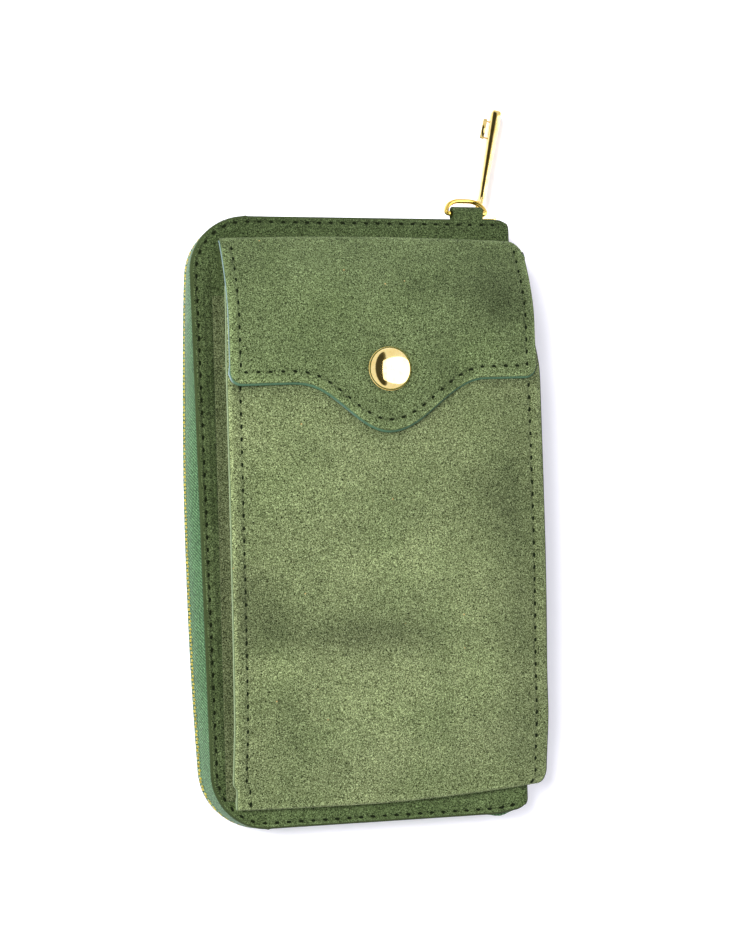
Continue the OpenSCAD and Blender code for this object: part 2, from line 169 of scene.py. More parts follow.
def area_light(name, place, size, power, seen_in_metal=True, lights_cloth=True):
    data = bpy.data.lights.new(name, "AREA")
    data.shape = "RECTANGLE"
    data.size, data.size_y = size
    data.energy = power
    lamp = bpy.data.objects.new(name, data)
    lamp.location = place
    lamp.rotation_euler = (Vector((0, 0, 0)) - Vector(place)).to_track_quat("-Z", "Y").to_euler()
    lamp.visible_camera = False
    lamp.visible_glossy = seen_in_metal
    lamp.visible_diffuse = lights_cloth
    bpy.context.scene.collection.objects.link(lamp)


def make_world():
    """Even white studio light with one dark strip overhead, which polished metal shows."""
    world = bpy.data.worlds.new("world")
    bpy.context.scene.world = world
    world.use_nodes = True
    tree = world.node_tree
    x, y, z = parts(tree, node(tree, "ShaderNodeTexCoord").outputs["Generated"])
    height = math_node(tree, "MAXIMUM", z, 0.02)
    across = chain(tree, x, ("DIVIDE", height), ("ADD", -STRIP_X), ("DIVIDE", STRIP_HALF_X))
    length = chain(tree, y, ("DIVIDE", height), ("DIVIDE", STRIP_HALF_Y))
    reach = chain(tree, across, ("MULTIPLY", across), ("ADD", math_node(tree, "MULTIPLY", length, length)))
    stops = [(0.4, (0.06, 0.06, 0.045)), (0.8, (0.20, 0.19, 0.13)), (1.0, (0.96, 0.97, 1.0))]
    colour = ramp(tree, reach, stops)
    tree.links.new(colour, tree.nodes["Background"].inputs["Color"])
    tree.nodes["Background"].inputs["Strength"].default_value = 0.98


def make_light():
    make_world()
    area_light("key", (-0.6, 0.25, 1.0), (0.45, 0.45), 19, seen_in_metal=False)
    area_light("reflector", (1.05, -0.05, 0.95), (1.75, 3.6), 50, lights_cloth=False)
    bpy.context.scene.view_settings.view_transform = "Standard"


# ---------------------------------------------------------------- materials

def node(tree, kind, values=None, **settings):
    made = tree.nodes.new(kind)
    for key, value in settings.items():
        setattr(made, key, value)
    for key, value in (values or {}).items():
        made.inputs[key].default_value = value
    return made


def new_material(name, values):
    """A material with constants on its shader's own sockets, its tree, shader and object coordinates."""
    material = bpy.data.materials.new(name)
    material.use_nodes = True
    tree = material.node_tree
    shader = tree.nodes["Principled BSDF"]
    for socket, value in values.items():
        shader.inputs[socket].default_value = value
    return material, tree, shader, node(tree, "ShaderNodeTexCoord").outputs["Object"]


def feed(tree, socket, value):
    """Sets a socket to a number or a colour, or links it to another node's output."""
    if isinstance(value, (float, int)):
        socket.default_value = value
    elif isinstance(value, tuple):
        socket.default_value = (*value, 1)
    else:
        tree.links.new(value, socket)


def noise_at(tree, place, scale, detail=3.0, rough=0.55, distort=0.0):
    made = node(tree, "ShaderNodeTexNoise",
                {"Scale": scale, "Detail": detail, "Roughness": rough, "Distortion": distort})
    tree.links.new(place, made.inputs["Vector"])
    return made.outputs["Fac"]


def ramp(tree, value, stops):
    made = node(tree, "ShaderNodeValToRGB")
    elements = made.color_ramp.elements
    while len(elements) < len(stops):
        elements.new(0.5)
    for element, (position, colour) in zip(elements, stops):
        element.position = position
        element.color = (*colour, 1)
    tree.links.new(value, made.inputs["Fac"])
    return made.outputs["Color"]


def mix(tree, amount, a, b, kind="MIX"):
    made = node(tree, "ShaderNodeMix", data_type="RGBA", blend_type=kind)
    for socket, value in ((0, amount), (6, a), (7, b)):
        feed(tree, made.inputs[socket], value)
    return made.outputs[2]


def tinted(tree, colour, value, low, high, start=0.3, end=0.7):
    """A colour multiplied by a tint that goes from low to high with a value."""
    return mix(tree, 1.0, colour, ramp(tree, value, [(start, low), (end, high)]), "MULTIPLY")


def math_node(tree, kind, a, b=0.0):
    made = node(tree, "ShaderNodeMath", operation=kind)
    feed(tree, made.inputs[0], a)
    feed(tree, made.inputs[1], b)
    return made.outputs[0]


def chain(tree, value, *steps):
    """A value taken through some sums in turn, each given as its kind and the other value."""
    for kind, other in steps:
        value = math_node(tree, kind, value, other)
    return value


def parts(tree, value, kind="ShaderNodeSeparateXYZ"):
    """The separate parts of a vector or a colour."""
    made = node(tree, kind)
    tree.links.new(value, made.inputs[0])
    return made.outputs


def bump(tree, shader, height, depth, strength=1.0, under=None):
    made = node(tree, "ShaderNodeBump", {"Strength": strength, "Distance": depth})
    tree.links.new(height, made.inputs["Height"])
    if under is not None:
        tree.links.new(under, made.inputs["Normal"])
    tree.links.new(made.outputs["Normal"], shader.inputs["Normal"])
    return made.outputs["Normal"]


def srgb(r, g, b):
    return tuple((c / 255 / 12.92) if c <= 10 else ((c / 255 + 0.055) / 1.055) ** 2.4 for c in (r, g, b))


def grey(level):
    return (level,) * 3


def with_flecks(tree, place, base):
    """A colour with rare gold flecks scattered over it."""
    cells = node(tree, "ShaderNodeTexVoronoi", {"Scale": 300.0, "Randomness": 1.0})
    tree.links.new(place, cells.inputs["Vector"])
    near = math_node(tree, "LESS_THAN", cells.outputs["Distance"], 0.085)
    chance = parts(tree, cells.outputs["Color"], "ShaderNodeSeparateColor")[0]
    rare = math_node(tree, "GREATER_THAN", chance, 0.968)
    return mix(tree, math_node(tree, "MULTIPLY", near, rare), base, srgb(168, 142, 92))


def suede_material(name, light, dark, seed, flecks=True):
    """Brushed suede: soft nap patches, finger marks, a fine speckled grain and a few gold flecks."""
    material, tree, shader, place = new_material(name, {
        "Roughness": 0.95, "Specular IOR Level": 0.1, "Sheen Weight": 0.06, "Sheen Roughness": 0.5,
        "Sheen Tint": (0.8, 0.85, 0.72, 1)})
    shift = node(tree, "ShaderNodeMapping", {"Location": (seed, seed * 0.7, seed * 1.3)})
    tree.links.new(place, shift.inputs["Vector"])
    place = shift.outputs["Vector"]
    patches = ramp(tree, noise_at(tree, place, 38, 3, 0.55, 0.4), [(0.34, grey(0)), (0.64, grey(1))])
    marks = noise_at(tree, place, 150, 4, 0.62)
    grain = noise_at(tree, place, 2900, 1, 0.6, 1.2)
    fluff = noise_at(tree, place, 1500, 2, 0.6, 1.0)
    base = tinted(tree, mix(tree, patches, dark, light), marks, grey(0.90), grey(1.09))
    base = tinted(tree, base, fluff, (0.66, 0.66, 0.64), (1.34, 1.34, 1.36))
    speckle = [(0.345, (0.04, 0.04, 0.02)), (0.5, (0.88, 0.88, 0.86)), (0.655, (2.45, 2.35, 2.75))]
    base = mix(tree, 1.0, base, ramp(tree, grain, speckle), "MULTIPLY")
    # The tone_and_painted_light attribute brightens or darkens the suede: brushed nap patches, and the painted
    # shade and painted highlights that each piece carries in it.
    tone_and_painted_light = node(tree, "ShaderNodeAttribute", attribute_name="tone_and_painted_light").outputs["Fac"]
    base = mix(tree, 1.0, base, math_node(tree, "ADD", tone_and_painted_light, 1.0), "MULTIPLY")
    if flecks:
        base = with_flecks(tree, place, base)
    tree.links.new(base, shader.inputs["Base Color"])
    soft = bump(tree, shader, marks, 0.0004, 0.5)
    bump(tree, shader, grain, 0.00025, 0.8, soft)
    return material


def edge_material(name, light, dark, painted_light_left=None, painted_shade_right=None):
    """Cut edge of a suede sheet in pressed fibres, which can be paler to the zip and darker to the spine: a
    painted highlight where the edge faces the key lamp and painted shade where it faces away.
    """
    material, tree, shader, place = new_material(name, {"Roughness": 0.85, "Specular IOR Level": 0.15})
    fibres = noise_at(tree, place, 2200, 4, 0.7)
    colour = mix(tree, noise_at(tree, place, 160, 3, 0.5), dark, light)
    if painted_light_left is not None:
        normal_x = parts(tree, node(tree, "ShaderNodeTexCoord").outputs["Normal"])[0]
        # Painted light by the way the edge faces: paler where it faces -x, toward the lamp, darker where it
        # faces +x.
        for offset, slope, painted_side_colour in ((0.45, -3.0, painted_light_left), (-0.35, 3.0, painted_shade_right)):
            facing = chain(tree, normal_x, ("ADD", offset), ("MULTIPLY", slope))
            facing.node.use_clamp = True
            colour = mix(tree, facing, colour, painted_side_colour)
    tree.links.new(tinted(tree, colour, fibres, grey(0.7), grey(1.2)), shader.inputs["Base Color"])
    bump(tree, shader, fibres, 0.00015, 0.6)
    return material


def weave_material(name, light, dark, pitch):
    """Woven twill from two sets of threads over the sheet's own length and width."""
    material, tree, shader, place = new_material(name, {
        "Roughness": 0.8, "Specular IOR Level": 0.25, "Sheen Weight": 0.15})
    u, v = parts(tree, node(tree, "ShaderNodeUVMap", uv_map="weave").outputs["UV"])[:2]
    turns = 2 * math.pi / pitch
    warp = chain(tree, u, ("ADD", v), ("MULTIPLY", turns), ("SINE", 0.0), ("MULTIPLY", 0.34))
    weft = chain(tree, v, ("MULTIPLY", turns * 2), ("SINE", 0.0), ("MULTIPLY", 0.26))
    height = chain(tree, warp, ("ADD", weft), ("ADD", 0.5))
    slubs = noise_at(tree, place, 1900, 2, 0.6)
    colour = mix(tree, height, dark, light)
    colour = tinted(tree, colour, slubs, (0.35, 0.4, 0.36), (1.6, 1.55, 1.65), 0.32, 0.68)
    colour = tinted(tree, colour, noise_at(tree, place, 60, 3, 0.5), grey(0.9), grey(1.06))
    tree.links.new(colour, shader.inputs["Base Color"])
    bump(tree, shader, height, 0.00018, 0.9)
    return material


def metal_material(name, colour, dark, rough, wear):
    """Plated metal with a faint polish haze and slight wear."""
    material, tree, shader, place = new_material(name, {"Metallic": 1.0})
    haze = noise_at(tree, place, 420, 4, 0.6)
    patches = ramp(tree, haze, [(0.35, grey(0)), (0.7, grey(1))])
    tree.links.new(mix(tree, patches, dark, colour), shader.inputs["Base Color"])
    tree.links.new(chain(tree, haze, ("MULTIPLY", wear), ("ADD", rough)), shader.inputs["Roughness"])
    bump(tree, shader, noise_at(tree, place, 2400, 2, 0.5), 0.00002, 0.25)
    return material


def thread_material(name, light, dark):
    """Twisted sewing thread."""
    material, tree, shader, place = new_material(name, {"Roughness": 0.9, "Specular IOR Level": 0.08})
    twist = node(tree, "ShaderNodeTexWave", {"Scale": 900.0, "Distortion": 1.5}, bands_direction="DIAGONAL")
    tree.links.new(place, twist.inputs["Vector"])
    tree.links.new(mix(tree, twist.outputs["Fac"], dark, light), shader.inputs["Base Color"])
    bump(tree, shader, twist.outputs["Fac"], 0.00008, 0.8)
    return material


def board_material(name):
    material, tree, shader, place = new_material(name, {"Roughness": 0.9})
    fibres = noise_at(tree, place, 700, 4, 0.7)
    tree.links.new(mix(tree, fibres, srgb(128, 108, 78), srgb(182, 160, 124)), shader.inputs["Base Color"])
    bump(tree, shader, fibres, 0.0001, 0.5)
    return material


def floor_material():
    material, tree, shader, place = new_material("floor", {
        "Roughness": 0.6, "Specular IOR Level": 0.2,
        "Emission Color": (0.92, 0.9, 1.0, 1), "Emission Strength": 0.2})
    cloudy = noise_at(tree, place, 3, 2, 0.5)
    tree.links.new(mix(tree, cloudy, (0.91, 0.90, 0.97), (0.94, 0.93, 1.0)), shader.inputs["Base Color"])
    return material


FLAP_SUEDE = suede_material("flap_suede", srgb(86, 99, 63), srgb(77, 90, 55), 1.7)
POCKET_SUEDE = suede_material("pocket_suede", srgb(88, 97, 64), srgb(78, 88, 56), 1.7)
COVER_SUEDE = suede_material("cover_suede", srgb(70, 83, 50), srgb(57, 70, 39), 5.1, flecks=False)
SLOT_SUEDE = suede_material("slot_suede", srgb(82, 94, 60), srgb(70, 82, 48), 8.4, flecks=False)
# Each of the first two edges has a painted highlight colour for its left-facing sides and a painted shade
# colour for its right-facing sides.
FLAP_EDGE = edge_material("flap_edge", srgb(84, 116, 90), srgb(62, 92, 70),
                          srgb(128, 146, 148), srgb(58, 70, 44))
POCKET_EDGE = edge_material("pocket_edge", srgb(92, 108, 74), srgb(70, 84, 52),
                            srgb(128, 142, 110), srgb(34, 34, 20))
TEAL_EDGE = edge_material("teal_edge", srgb(66, 98, 74), srgb(50, 76, 56))
COVER_EDGE = edge_material("cover_edge", srgb(60, 72, 42), srgb(46, 56, 30))
TAPE = weave_material("zip_tape", srgb(98, 134, 90), srgb(24, 56, 32), 0.0011)
LINING = weave_material("lining", srgb(74, 80, 60), srgb(48, 54, 38), 0.0009)
GOLD = metal_material("gold", srgb(255, 234, 168), srgb(250, 220, 140), 0.05, 0.07)
RING_GOLD = metal_material("ring_gold", srgb(230, 200, 112), srgb(208, 174, 76), 0.05, 0.07)
PULLER_GOLD = metal_material("puller_gold", srgb(240, 214, 146), srgb(228, 200, 120), 0.05, 0.07)
TOOTH_GOLD = metal_material("tooth_gold", srgb(206, 190, 70), srgb(136, 124, 30), 0.25, 0.2)
THREAD = thread_material("thread", srgb(24, 33, 13), srgb(9, 14, 4))
BOARD = board_material("board")


# ---------------------------------------------------------------- mesh helpers

def fit(made, body, slot, *stands_for):
    """Gives a piece its body and hides the CAD nodes that it stands for; its slot is not used."""
    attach(made, body)
    if stands_for:
        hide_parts(*stands_for)


def smoothstep(t):
    t = np.clip(t, 0, 1)
    return t * t * (3 - 2 * t)


def band(distance, at, width):
    """A soft line along a seam or an edge."""
    return np.exp(-((distance - at) / width) ** 2)


def add_mesh(name, points, faces, materials, face_material=None, uv=None, tone_and_painted_light=None):
    mesh = bpy.data.meshes.new(name)
    mesh.from_pydata((np.asarray(points, float) * MM).tolist(), [], faces)
    for material in materials:
        mesh.materials.append(material)
    if face_material is not None:
        mesh.polygons.foreach_set("material_index", np.asarray(face_material, np.int32))
    mesh.polygons.foreach_set("use_smooth", np.ones(len(mesh.polygons), bool))
    if uv is not None:
        corners = np.zeros(len(mesh.loops), np.int32)
        mesh.loops.foreach_get("vertex_index", corners)
        layer = mesh.uv_layers.new(name="weave")
        layer.data.foreach_set("uv", (np.asarray(uv, float)[corners] * MM).ravel())
    if tone_and_painted_light is not None:
        mesh.attributes.new("tone_and_painted_light", "FLOAT", "POINT").data.foreach_set("value", np.asarray(tone_and_painted_light, np.float32))
    mesh.update()
    made = bpy.data.objects.new(name, mesh)
    bpy.context.scene.collection.objects.link(made)
    return made


def join_rings(start, count, around, flip=False):
    """The faces between rings of points that follow each other, and those that close both ends."""
    faces = []
    for i in range(count - 1):
        a, b = start + i * around, start + (i + 1) * around
        for k in range(around):
            m = (k + 1) % around
            faces.append([a + k, b + k, b + m, a + m] if flip else [a + k, a + m, b + m, b + k])
    low = [start + k for k in range(around)]
    high = [start + (count - 1) * around + k for k in range(around)]
    return faces + ([low, high[::-1]] if flip else [low[::-1], high])


def lengths_along(path):
    return np.concatenate([[0], np.cumsum(np.linalg.norm(np.diff(path, axis=0), axis=1))])


def points_at(path, total, where):
    """The points of a path at some lengths along it."""
    return np.stack([np.interp(where, total, path[:, k]) for k in range(3)], 1)


def dense(path, step=0.5):
    """The same path with points at even short steps."""
    path = np.asarray(path, float)
    total = lengths_along(path)
    return points_at(path, total, np.linspace(0, total[-1], int(total[-1] / step) + 1))


def resample(path, step):
    """Points and directions at even steps along a path, with half a step spare at each end."""
    path = np.asarray(path, float)
    total = lengths_along(path)
    count = max(1, int(total[-1] / step))
    where = (np.arange(count) + 0.5) * total[-1] / count
    way = points_at(path, total, where + 0.3) - points_at(path, total, where - 0.3)
    return points_at(path, total, where), way / np.maximum(np.linalg.norm(way, axis=1, keepdims=True), 1e-9)


def grid_normals(grid):
    normal = np.cross(np.gradient(grid, axis=1), np.gradient(grid, axis=0))
    return normal / np.maximum(np.linalg.norm(normal, axis=2, keepdims=True), 1e-9)


def slab(name, grid, thick, material, rim_material=None, rim=4, tone_and_painted_light=0.0):
    """A sheet with its outer face on a grid of points (rows, columns, xyz) and a rounded rim."""
    tone_and_painted_light = np.broadcast_to(np.asarray(tone_and_painted_light, float), grid.shape[:2])
    rows, columns = grid.shape[:2]
    normal = grid_normals(grid)
    thick = np.broadcast_to(np.asarray(thick, float), (rows, columns))[..., None]
    under = grid - normal * thick
    loop = ([(0, i) for i in range(columns)] + [(j, columns - 1) for j in range(1, rows)]
            + [(rows - 1, i) for i in range(columns - 2, -1, -1)] + [(j, 0) for j in range(rows - 2, 0, -1)])
    at = tuple(np.array(loop).T)
    edge, up, radius = grid[at], normal[at], thick[at] / 2
    out = np.cross(np.roll(edge, -1, 0) - np.roll(edge, 1, 0), up)
    out /= np.maximum(np.linalg.norm(out, axis=1, keepdims=True), 1e-9)
    count, ring = rows * columns, len(loop)
    uv = np.stack(np.meshgrid(lengths_along(grid[rows // 2]), lengths_along(grid[:, columns // 2])), 2)
    points = [grid.reshape(-1, 3), under.reshape(-1, 3)]
    uvs = [uv.reshape(-1, 2)] * 2
    tones = [tone_and_painted_light.reshape(-1)] * 2
    for k in range(1, rim):
        a = math.pi * k / rim
        points.append(edge - up * radius * (1 - math.cos(a)) + out * radius * math.sin(a))
        uvs.append(uv[at])
        tones.append(tone_and_painted_light[at])
    index = np.arange(count).reshape(rows, columns)
    a, b, c, d = index[:-1, :-1], index[:-1, 1:], index[1:, 1:], index[1:, :-1]
    top = np.stack([a, b, c, d], 2).reshape(-1, 4)
    faces = top.tolist() + (top[:, ::-1] + count).tolist()
    rim_start = len(faces)
    first = index[at]
    rings = [first] + [2 * count + k * ring + np.arange(ring) for k in range(rim - 1)] + [first + count]
    for upper, lower in zip(rings, rings[1:]):
        faces += np.stack([np.roll(upper, -1), upper, lower, np.roll(lower, -1)], 1).tolist()
    which = [0] * rim_start + [1] * (len(faces) - rim_start)
    return add_mesh(name, np.concatenate(points), faces, [material, rim_material or material], which,
                    np.concatenate(uvs), np.concatenate(tones))


def lumps(points, size, seed):
    """Smooth random waves of a given size in millimetres at each point."""
    shift = Vector((seed, seed * 1.7, seed * 0.3))
    values = [noise.noise(Vector(p) / size + shift) for p in points.reshape(-1, 3)]
    return np.array(values).reshape(points.shape[:-1])


def stitches(name, path, ups, length=1.9, width=0.95, pitch=STITCH_PITCH, sink=0.02):
    """A row of separate sewn stitches on a path. ups gives the surface's outward direction at a point."""
    around, rings, slant = 8, 8, 0.14
    at, way = resample(path, pitch)
    points, faces = [], []
    for p, t in zip(at, way):
        up = np.asarray(ups(p), float)
        side = np.cross(t, up)
        side /= np.linalg.norm(side)
        lean = slant + rng.uniform(-0.06, 0.06)
        t = t * math.cos(lean) + side * math.sin(lean)
        side = np.cross(t, up)
        long = length * rng.uniform(0.92, 1.06)
        faces += join_rings(len(points), rings, around, flip=True)
        for i in range(rings):
            s = -1 + 2 * i / (rings - 1)
            radius = width / 2 * math.sqrt(max(0.0, 1 - abs(s) ** 3)) + 0.02
            centre = p + t * (s * long / 2) - up * (sink + 0.38 * s * s)
            for k in range(around):
                a = 2 * math.pi * k / around
                points.append(centre + side * (radius * math.cos(a)) + up * (radius * 0.8 * math.sin(a)))
    return add_mesh(name, points, faces, [THREAD])


def rows_of_stitches(name, line, ups, body):
    """Stitches along a row of a sheet's grid, standing on the sheet."""
    def up_at(point):
        return ups[int(np.argmin(((line - point) ** 2).sum(1)))]
    fit(stitches(name, line, up_at), body, "flap_suede")


def revolve(name, profile, centre, material, steps=96):
    """A round piece about a vertical axis, from (radius, height) points listed upward."""
    points = []
    for r, z in profile:
        for k in range(steps):
            a = 2 * math.pi * k / steps
            points.append((centre[0] + r * math.cos(a), centre[1] + r * math.sin(a), z))
    return add_mesh(name, points, join_rings(0, len(profile), steps), [material])


def closed_tube(name, path, radius, material, around=20):
    """A round wire along a closed path of points."""
    path = np.asarray(path, float)
    n = len(path)
    points, faces = [], []
    reference = np.cross(path[1] - path[0], path[n // 2] - path[0])
    reference /= np.linalg.norm(reference)
    for i in range(n):
        ahead, behind = path[(i + 1) % n], path[i - 1]
        side = np.cross((ahead - behind) / np.linalg.norm(ahead - behind), reference)
        side /= np.linalg.norm(side)
        for k in range(around):
            a = 2 * math.pi * k / around
            points.append(path[i] + side * radius * math.cos(a) + reference * radius * math.sin(a))
    for i in range(n):
        a, b = i * around, (i + 1) % n * around
        for k in range(around):
            m = (k + 1) % around
            faces.append([a + k, a + m, b + m, b + k])
    return add_mesh(name, points, faces, [material])


def finished_copy(cad, name, material, bevel=0.25, segments=3):
    """A CAD node's shape with its hard edges rounded as a casting's are."""
    made = bpy.data.objects.new(name, frame["nodes"][cad].data.copy())
    made.data.materials.clear()
    made.data.materials.append(material)
    bpy.context.scene.collection.objects.link(made)
    made.modifiers.new("weld", "WELD").merge_threshold = 1e-6
    flat = made.modifiers.new("flat", "DECIMATE")
    flat.decimate_type = "DISSOLVE"
    flat.angle_limit = math.radians(4)
    round_off = made.modifiers.new("round", "BEVEL")
    round_off.width = bevel * MM
    round_off.segments = segments
    round_off.limit_method = "ANGLE"
    round_off.angle_limit = math.radians(35)
    round_off.harden_normals = True
    depsgraph = bpy.context.evaluated_depsgraph_get()
    mesh = bpy.data.meshes.new_from_object(made.evaluated_get(depsgraph))
    made.modifiers.clear()
    made.data = mesh
    mesh.polygons.foreach_set("use_smooth", np.ones(len(mesh.polygons), bool))
    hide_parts(cad)
    return made


# Places where the nap has been brushed lighter or darker: x, y, half widths and strength. The long dark strip
# down the pocket's right side (x 50) is painted shade, not nap.
POCKET_MARKS = [(-5, -38, 32, 6, -0.38), (-38, -31, 11, 9, -0.30), (41, 4, 11, 13, -0.26),
                (50, -20, 8, 80, -0.24), (-20, 12, 26, 10, 0.20), (9, -14, 24, 9, 0.26),
                (2, -66, 26, 15, 0.22), (-33, -48, 8, 5, 0.24), (-28, -64, 7, 9, -0.16),
                (30, -34, 12, 8, 0.16), (-40, -20, 9, 8, -0.18), (-46, -60, 4, 60, -0.12),
                (-30, 30, 16, 7, 0.12), (36, -52, 14, 8, 0.14), (22, -80, 20, 6, 0.10)]
FLAP_MARKS = [(46, 72, 13, 13, -0.34), (20, 76, 12, 7, -0.10), (-38, 46, 12, 8, 0.14), (38, 51, 8, 7, 0.18),
              (26, 50, 6, 10, -0.12), (-42, 84, 8, 8, -0.08), (0, 66, 22, 8, 0.06), (-20, 74, 14, 8, 0.08)]
NAP_AND_SHADE_STRENGTH = 1.38


# Sums the marks: nap patches, and the strip of painted shade on the pocket's right side.
def nap_and_shade(points, marks):
    x, y = points[..., 0], points[..., 1]
    total = np.zeros(x.shape)
    for mark_x, mark_y, wide, high, strength in marks:
        total += NAP_AND_SHADE_STRENGTH * strength * np.exp(-((x - mark_x) / wide) ** 2 - ((y - mark_y) / high) ** 2)
    return total


# ---------------------------------------------------------------- covers

def cover_left(y, inset):
    """Left edge of a cover at each y, pulled in by an inset."""
    over = np.maximum(0, np.abs(y) - CORNER_Y)
    radius = CORNER_R - inset
    return CORNER_X - np.sqrt(np.maximum(0, radius * radius - over * over))


def edge_distance(x, y):
    """Distance in from a cover's sewn edge, which has no spine side."""
    px, py = np.maximum(0, CORNER_X - x), np.maximum(0, np.abs(y) - CORNER_Y)
    in_corner = (px > 0) & (py > 0)
    return np.where(in_corner, CORNER_R - np.hypot(px, py), np.minimum(x - ZIP_X, HALF_L - np.abs(y)))


def cover_rows(inset, arc_steps=26, straight_step=2.0):
    """Rows of y, close together round the corners."""
    turn = np.sin(np.linspace(0, math.pi / 2, arc_steps + 1))
    top = CORNER_Y + (CORNER_R - inset) * turn
    middle = np.linspace(-CORNER_Y, CORNER_Y, int(2 * CORNER_Y / straight_step) + 1)[1:-1]
    return np.concatenate([-top[::-1], middle, top])


def ease_corner(points):
    """Draws the covers in beside the spine at both ends; the foot's corner is drawn up a little as well."""
    x, y = points[..., 0].copy(), points[..., 1].copy()
    pull = 0.44 * smoothstep((np.abs(y) - 78) / 14)
    x = np.where(x > 50, 50 + (x - 50) * (1 - pull), x)
    radius = 4.4
    into = np.clip((x - COVER_X1 + 0.8 + radius) / radius, 0, 1)
    corner = radius * (1 - np.sqrt(np.maximum(0, 1 - into ** 2)))
    drawn = np.where(y < 0, 1.5 * smoothstep((x - 42) / 12), 0)
    end = smoothstep((np.abs(y) - 84) / (HALF_L - 84))
    points[..., 0] = x
    points[..., 1] = y - np.sign(y) * end * (corner + drawn)
    return points


def sewn_lean(x, y):
    """How far the front cover's sewn side sits out to the left, which is less than nothing at the foot."""
    return 1.1 * np.clip(y / 80, -1.05, 1.05) * (1 - smoothstep((x - ZIP_X) / 60))


def lean_left(points):
    points[..., 0] -= sewn_lean(points[..., 0], points[..., 1])
    return points


def column(x, y, z):
    """One column of a sheet's grid. Each of the three is a value for every row or one for all."""
    return np.stack(np.broadcast_arrays(x, y, z), 1)


def fold_columns(wall, bend, bend_n, level, side, y, end, wall_n):
    """Columns of a sheet round the fold beside the spine, and on along the spine's wall to a height."""
    columns = []
    for k in range(1, bend_n + 1):
        a = math.pi / 2 * k / bend_n
        columns.append(column(wall - bend + bend * math.sin(a), y, level - side * bend * (1 - math.cos(a))))
    down = level - side * bend
    return columns + [column(wall, y, down + (end - down) * t) for t in np.linspace(0, 1, wall_n)[1:]]


def cover_face(grid, level, front):
    """How far a cover's face stands up or sinks at each place, and its tone_and_painted_light values, with
    painted shade in the seam groove and, on the front, in the creases and inward of them beside the pocket.
    """
    y = grid[..., 1]
    d = edge_distance(grid[..., 0], y)
    flat = (np.abs(grid[..., 2] - level) < 0.01) & (grid[..., 0] < 54)
    relief = 0.16 * band(d, 1.3, 0.5) - 0.36 * band(d, STITCH_INSET, 0.34)
    relief += 0.10 * lumps(grid, 22, 3.1) * smoothstep((d - 2) / 4)
    # Painted shade in the seam's groove, and a paler band just inside the edge.
    tone_and_painted_light = -0.08 * band(d, STITCH_INSET, 0.5) * flat + 0.10 * band(d, 0.9, 0.7) * flat
    if front:
        beside = smoothstep((84 - np.abs(y)) / 10)
        for crease, depth in ((4.7, 0.20), (6.6, 0.28)):
            relief -= depth * band(d, crease, 0.42) * beside
            # Painted shade in each crease.
            tone_and_painted_light -= 0.9 * depth * band(d, crease, 0.5) * beside
        # Painted shade on the cover inward of the creases, beside the pocket.
        tone_and_painted_light -= 0.14 * smoothstep((d - 4) / 2) * beside
        tone_and_painted_light += 0.34 * smoothstep((-86 - y) / 6) * flat
        tone_and_painted_light -= 0.06 * smoothstep((y - 88) / 6)
    return np.where(flat, relief, 0), tone_and_painted_light


def cover_skin(front):
    """A cover's suede, drawn over its edges and on round the fold to the middle of the spine."""
    inset, bend = FRONT_COVER_T / 2, 2.6
    y = cover_rows(inset)
    side = 1 if front else -1
    level = FRONT_TOP if front else BACK_LO[2]
    near = np.concatenate([np.linspace(0, 3.6, 15)[:-1], np.linspace(3.6, 14, 16)])
    left = cover_left(y, inset)
    start = left + near[-1]
    columns = [column(left + d, y, level) for d in near]
    columns += [column(start + (SPINE_X - bend - start) * t, y, level) for t in np.linspace(0, 1, 46)[1:]]
    columns += fold_columns(SPINE_X, bend, 10, level, side, y, MID_Z + side * 0.02, 6)
    grid = np.stack(columns, 1)
    relief, tone_and_painted_light = cover_face(grid, level, front)
    grid[..., 2] += side * relief
    thick = FRONT_COVER_T - (FRONT_COVER_T - SUEDE_T) * smoothstep((grid[..., 0] - 50) / 4)
    grid = ease_corner(grid)
    if front:
        return slab("front_cover", lean_left(grid), thick, COVER_SUEDE, COVER_EDGE, rim=8, tone_and_painted_light=tone_and_painted_light)
    grid[..., 2] = np.maximum(grid[..., 2], 0.02)
    return slab("back_cover", grid[::-1], thick[::-1], COVER_SUEDE, COVER_EDGE, rim=8, tone_and_painted_light=tone_and_painted_light[::-1])


def make_skins(skin, front_nodes, back_node):
    """A front and a back sheet that meet at the spine."""
    for front, nodes in ((True, front_nodes), (False, [back_node])):
        made = skin(front)
        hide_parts(*nodes)
        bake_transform(made)


def cover_seam(z):
    """The line of stitches round a cover's three sewn sides."""
    r, edge = CORNER_R - STITCH_INSET, HALF_L - STITCH_INSET
    turn = np.linspace(0, math.pi / 2, 24)
    path = [(SEAM_END_X, edge, z)]
    path += [(CORNER_X - r * math.sin(a), CORNER_Y + r * math.cos(a), z) for a in turn]
    path += [(CORNER_X - r * math.cos(a), -CORNER_Y - r * math.sin(a), z) for a in turn]
    return ease_corner(dense(path + [(SEAM_END_X, -edge, z)]))


def make_covers():
    make_skins(cover_skin, ["front_suede", "spine_suede"], "back_suede")
    sewn_line = cover_seam(FRONT_TOP - 0.2)
    tack = lean_left(sewn_line[-16:] + np.array((0, 0.25, 0)))
    for name, line, pitch in (("front_cover_stitches", lean_left(sewn_line), STITCH_PITCH),
                              ("foot_tack_stitches", tack, 3.1)):
        fit(stitches(name, line, lambda p: (0, 0, 1), pitch=pitch), "front_half", "cover_suede")
    sewn = stitches("back_cover_stitches", cover_seam(BACK_LO[2] + 0.34), lambda p: (0, 0, -1), sink=0.16)
    fit(sewn, "back_half", "cover_suede")


# ---------------------------------------------------------------- zip

STRAIGHT_L = FIRST_TOOTH_X - CORNER_X
ARC_L = math.pi / 2 * CORNER_R
SIDE_L = 2 * CORNER_Y
CHAIN_L = 2 * STRAIGHT_L + 2 * ARC_L + SIDE_L
TEETH_N = int(CHAIN_L / TOOTH_PITCH)

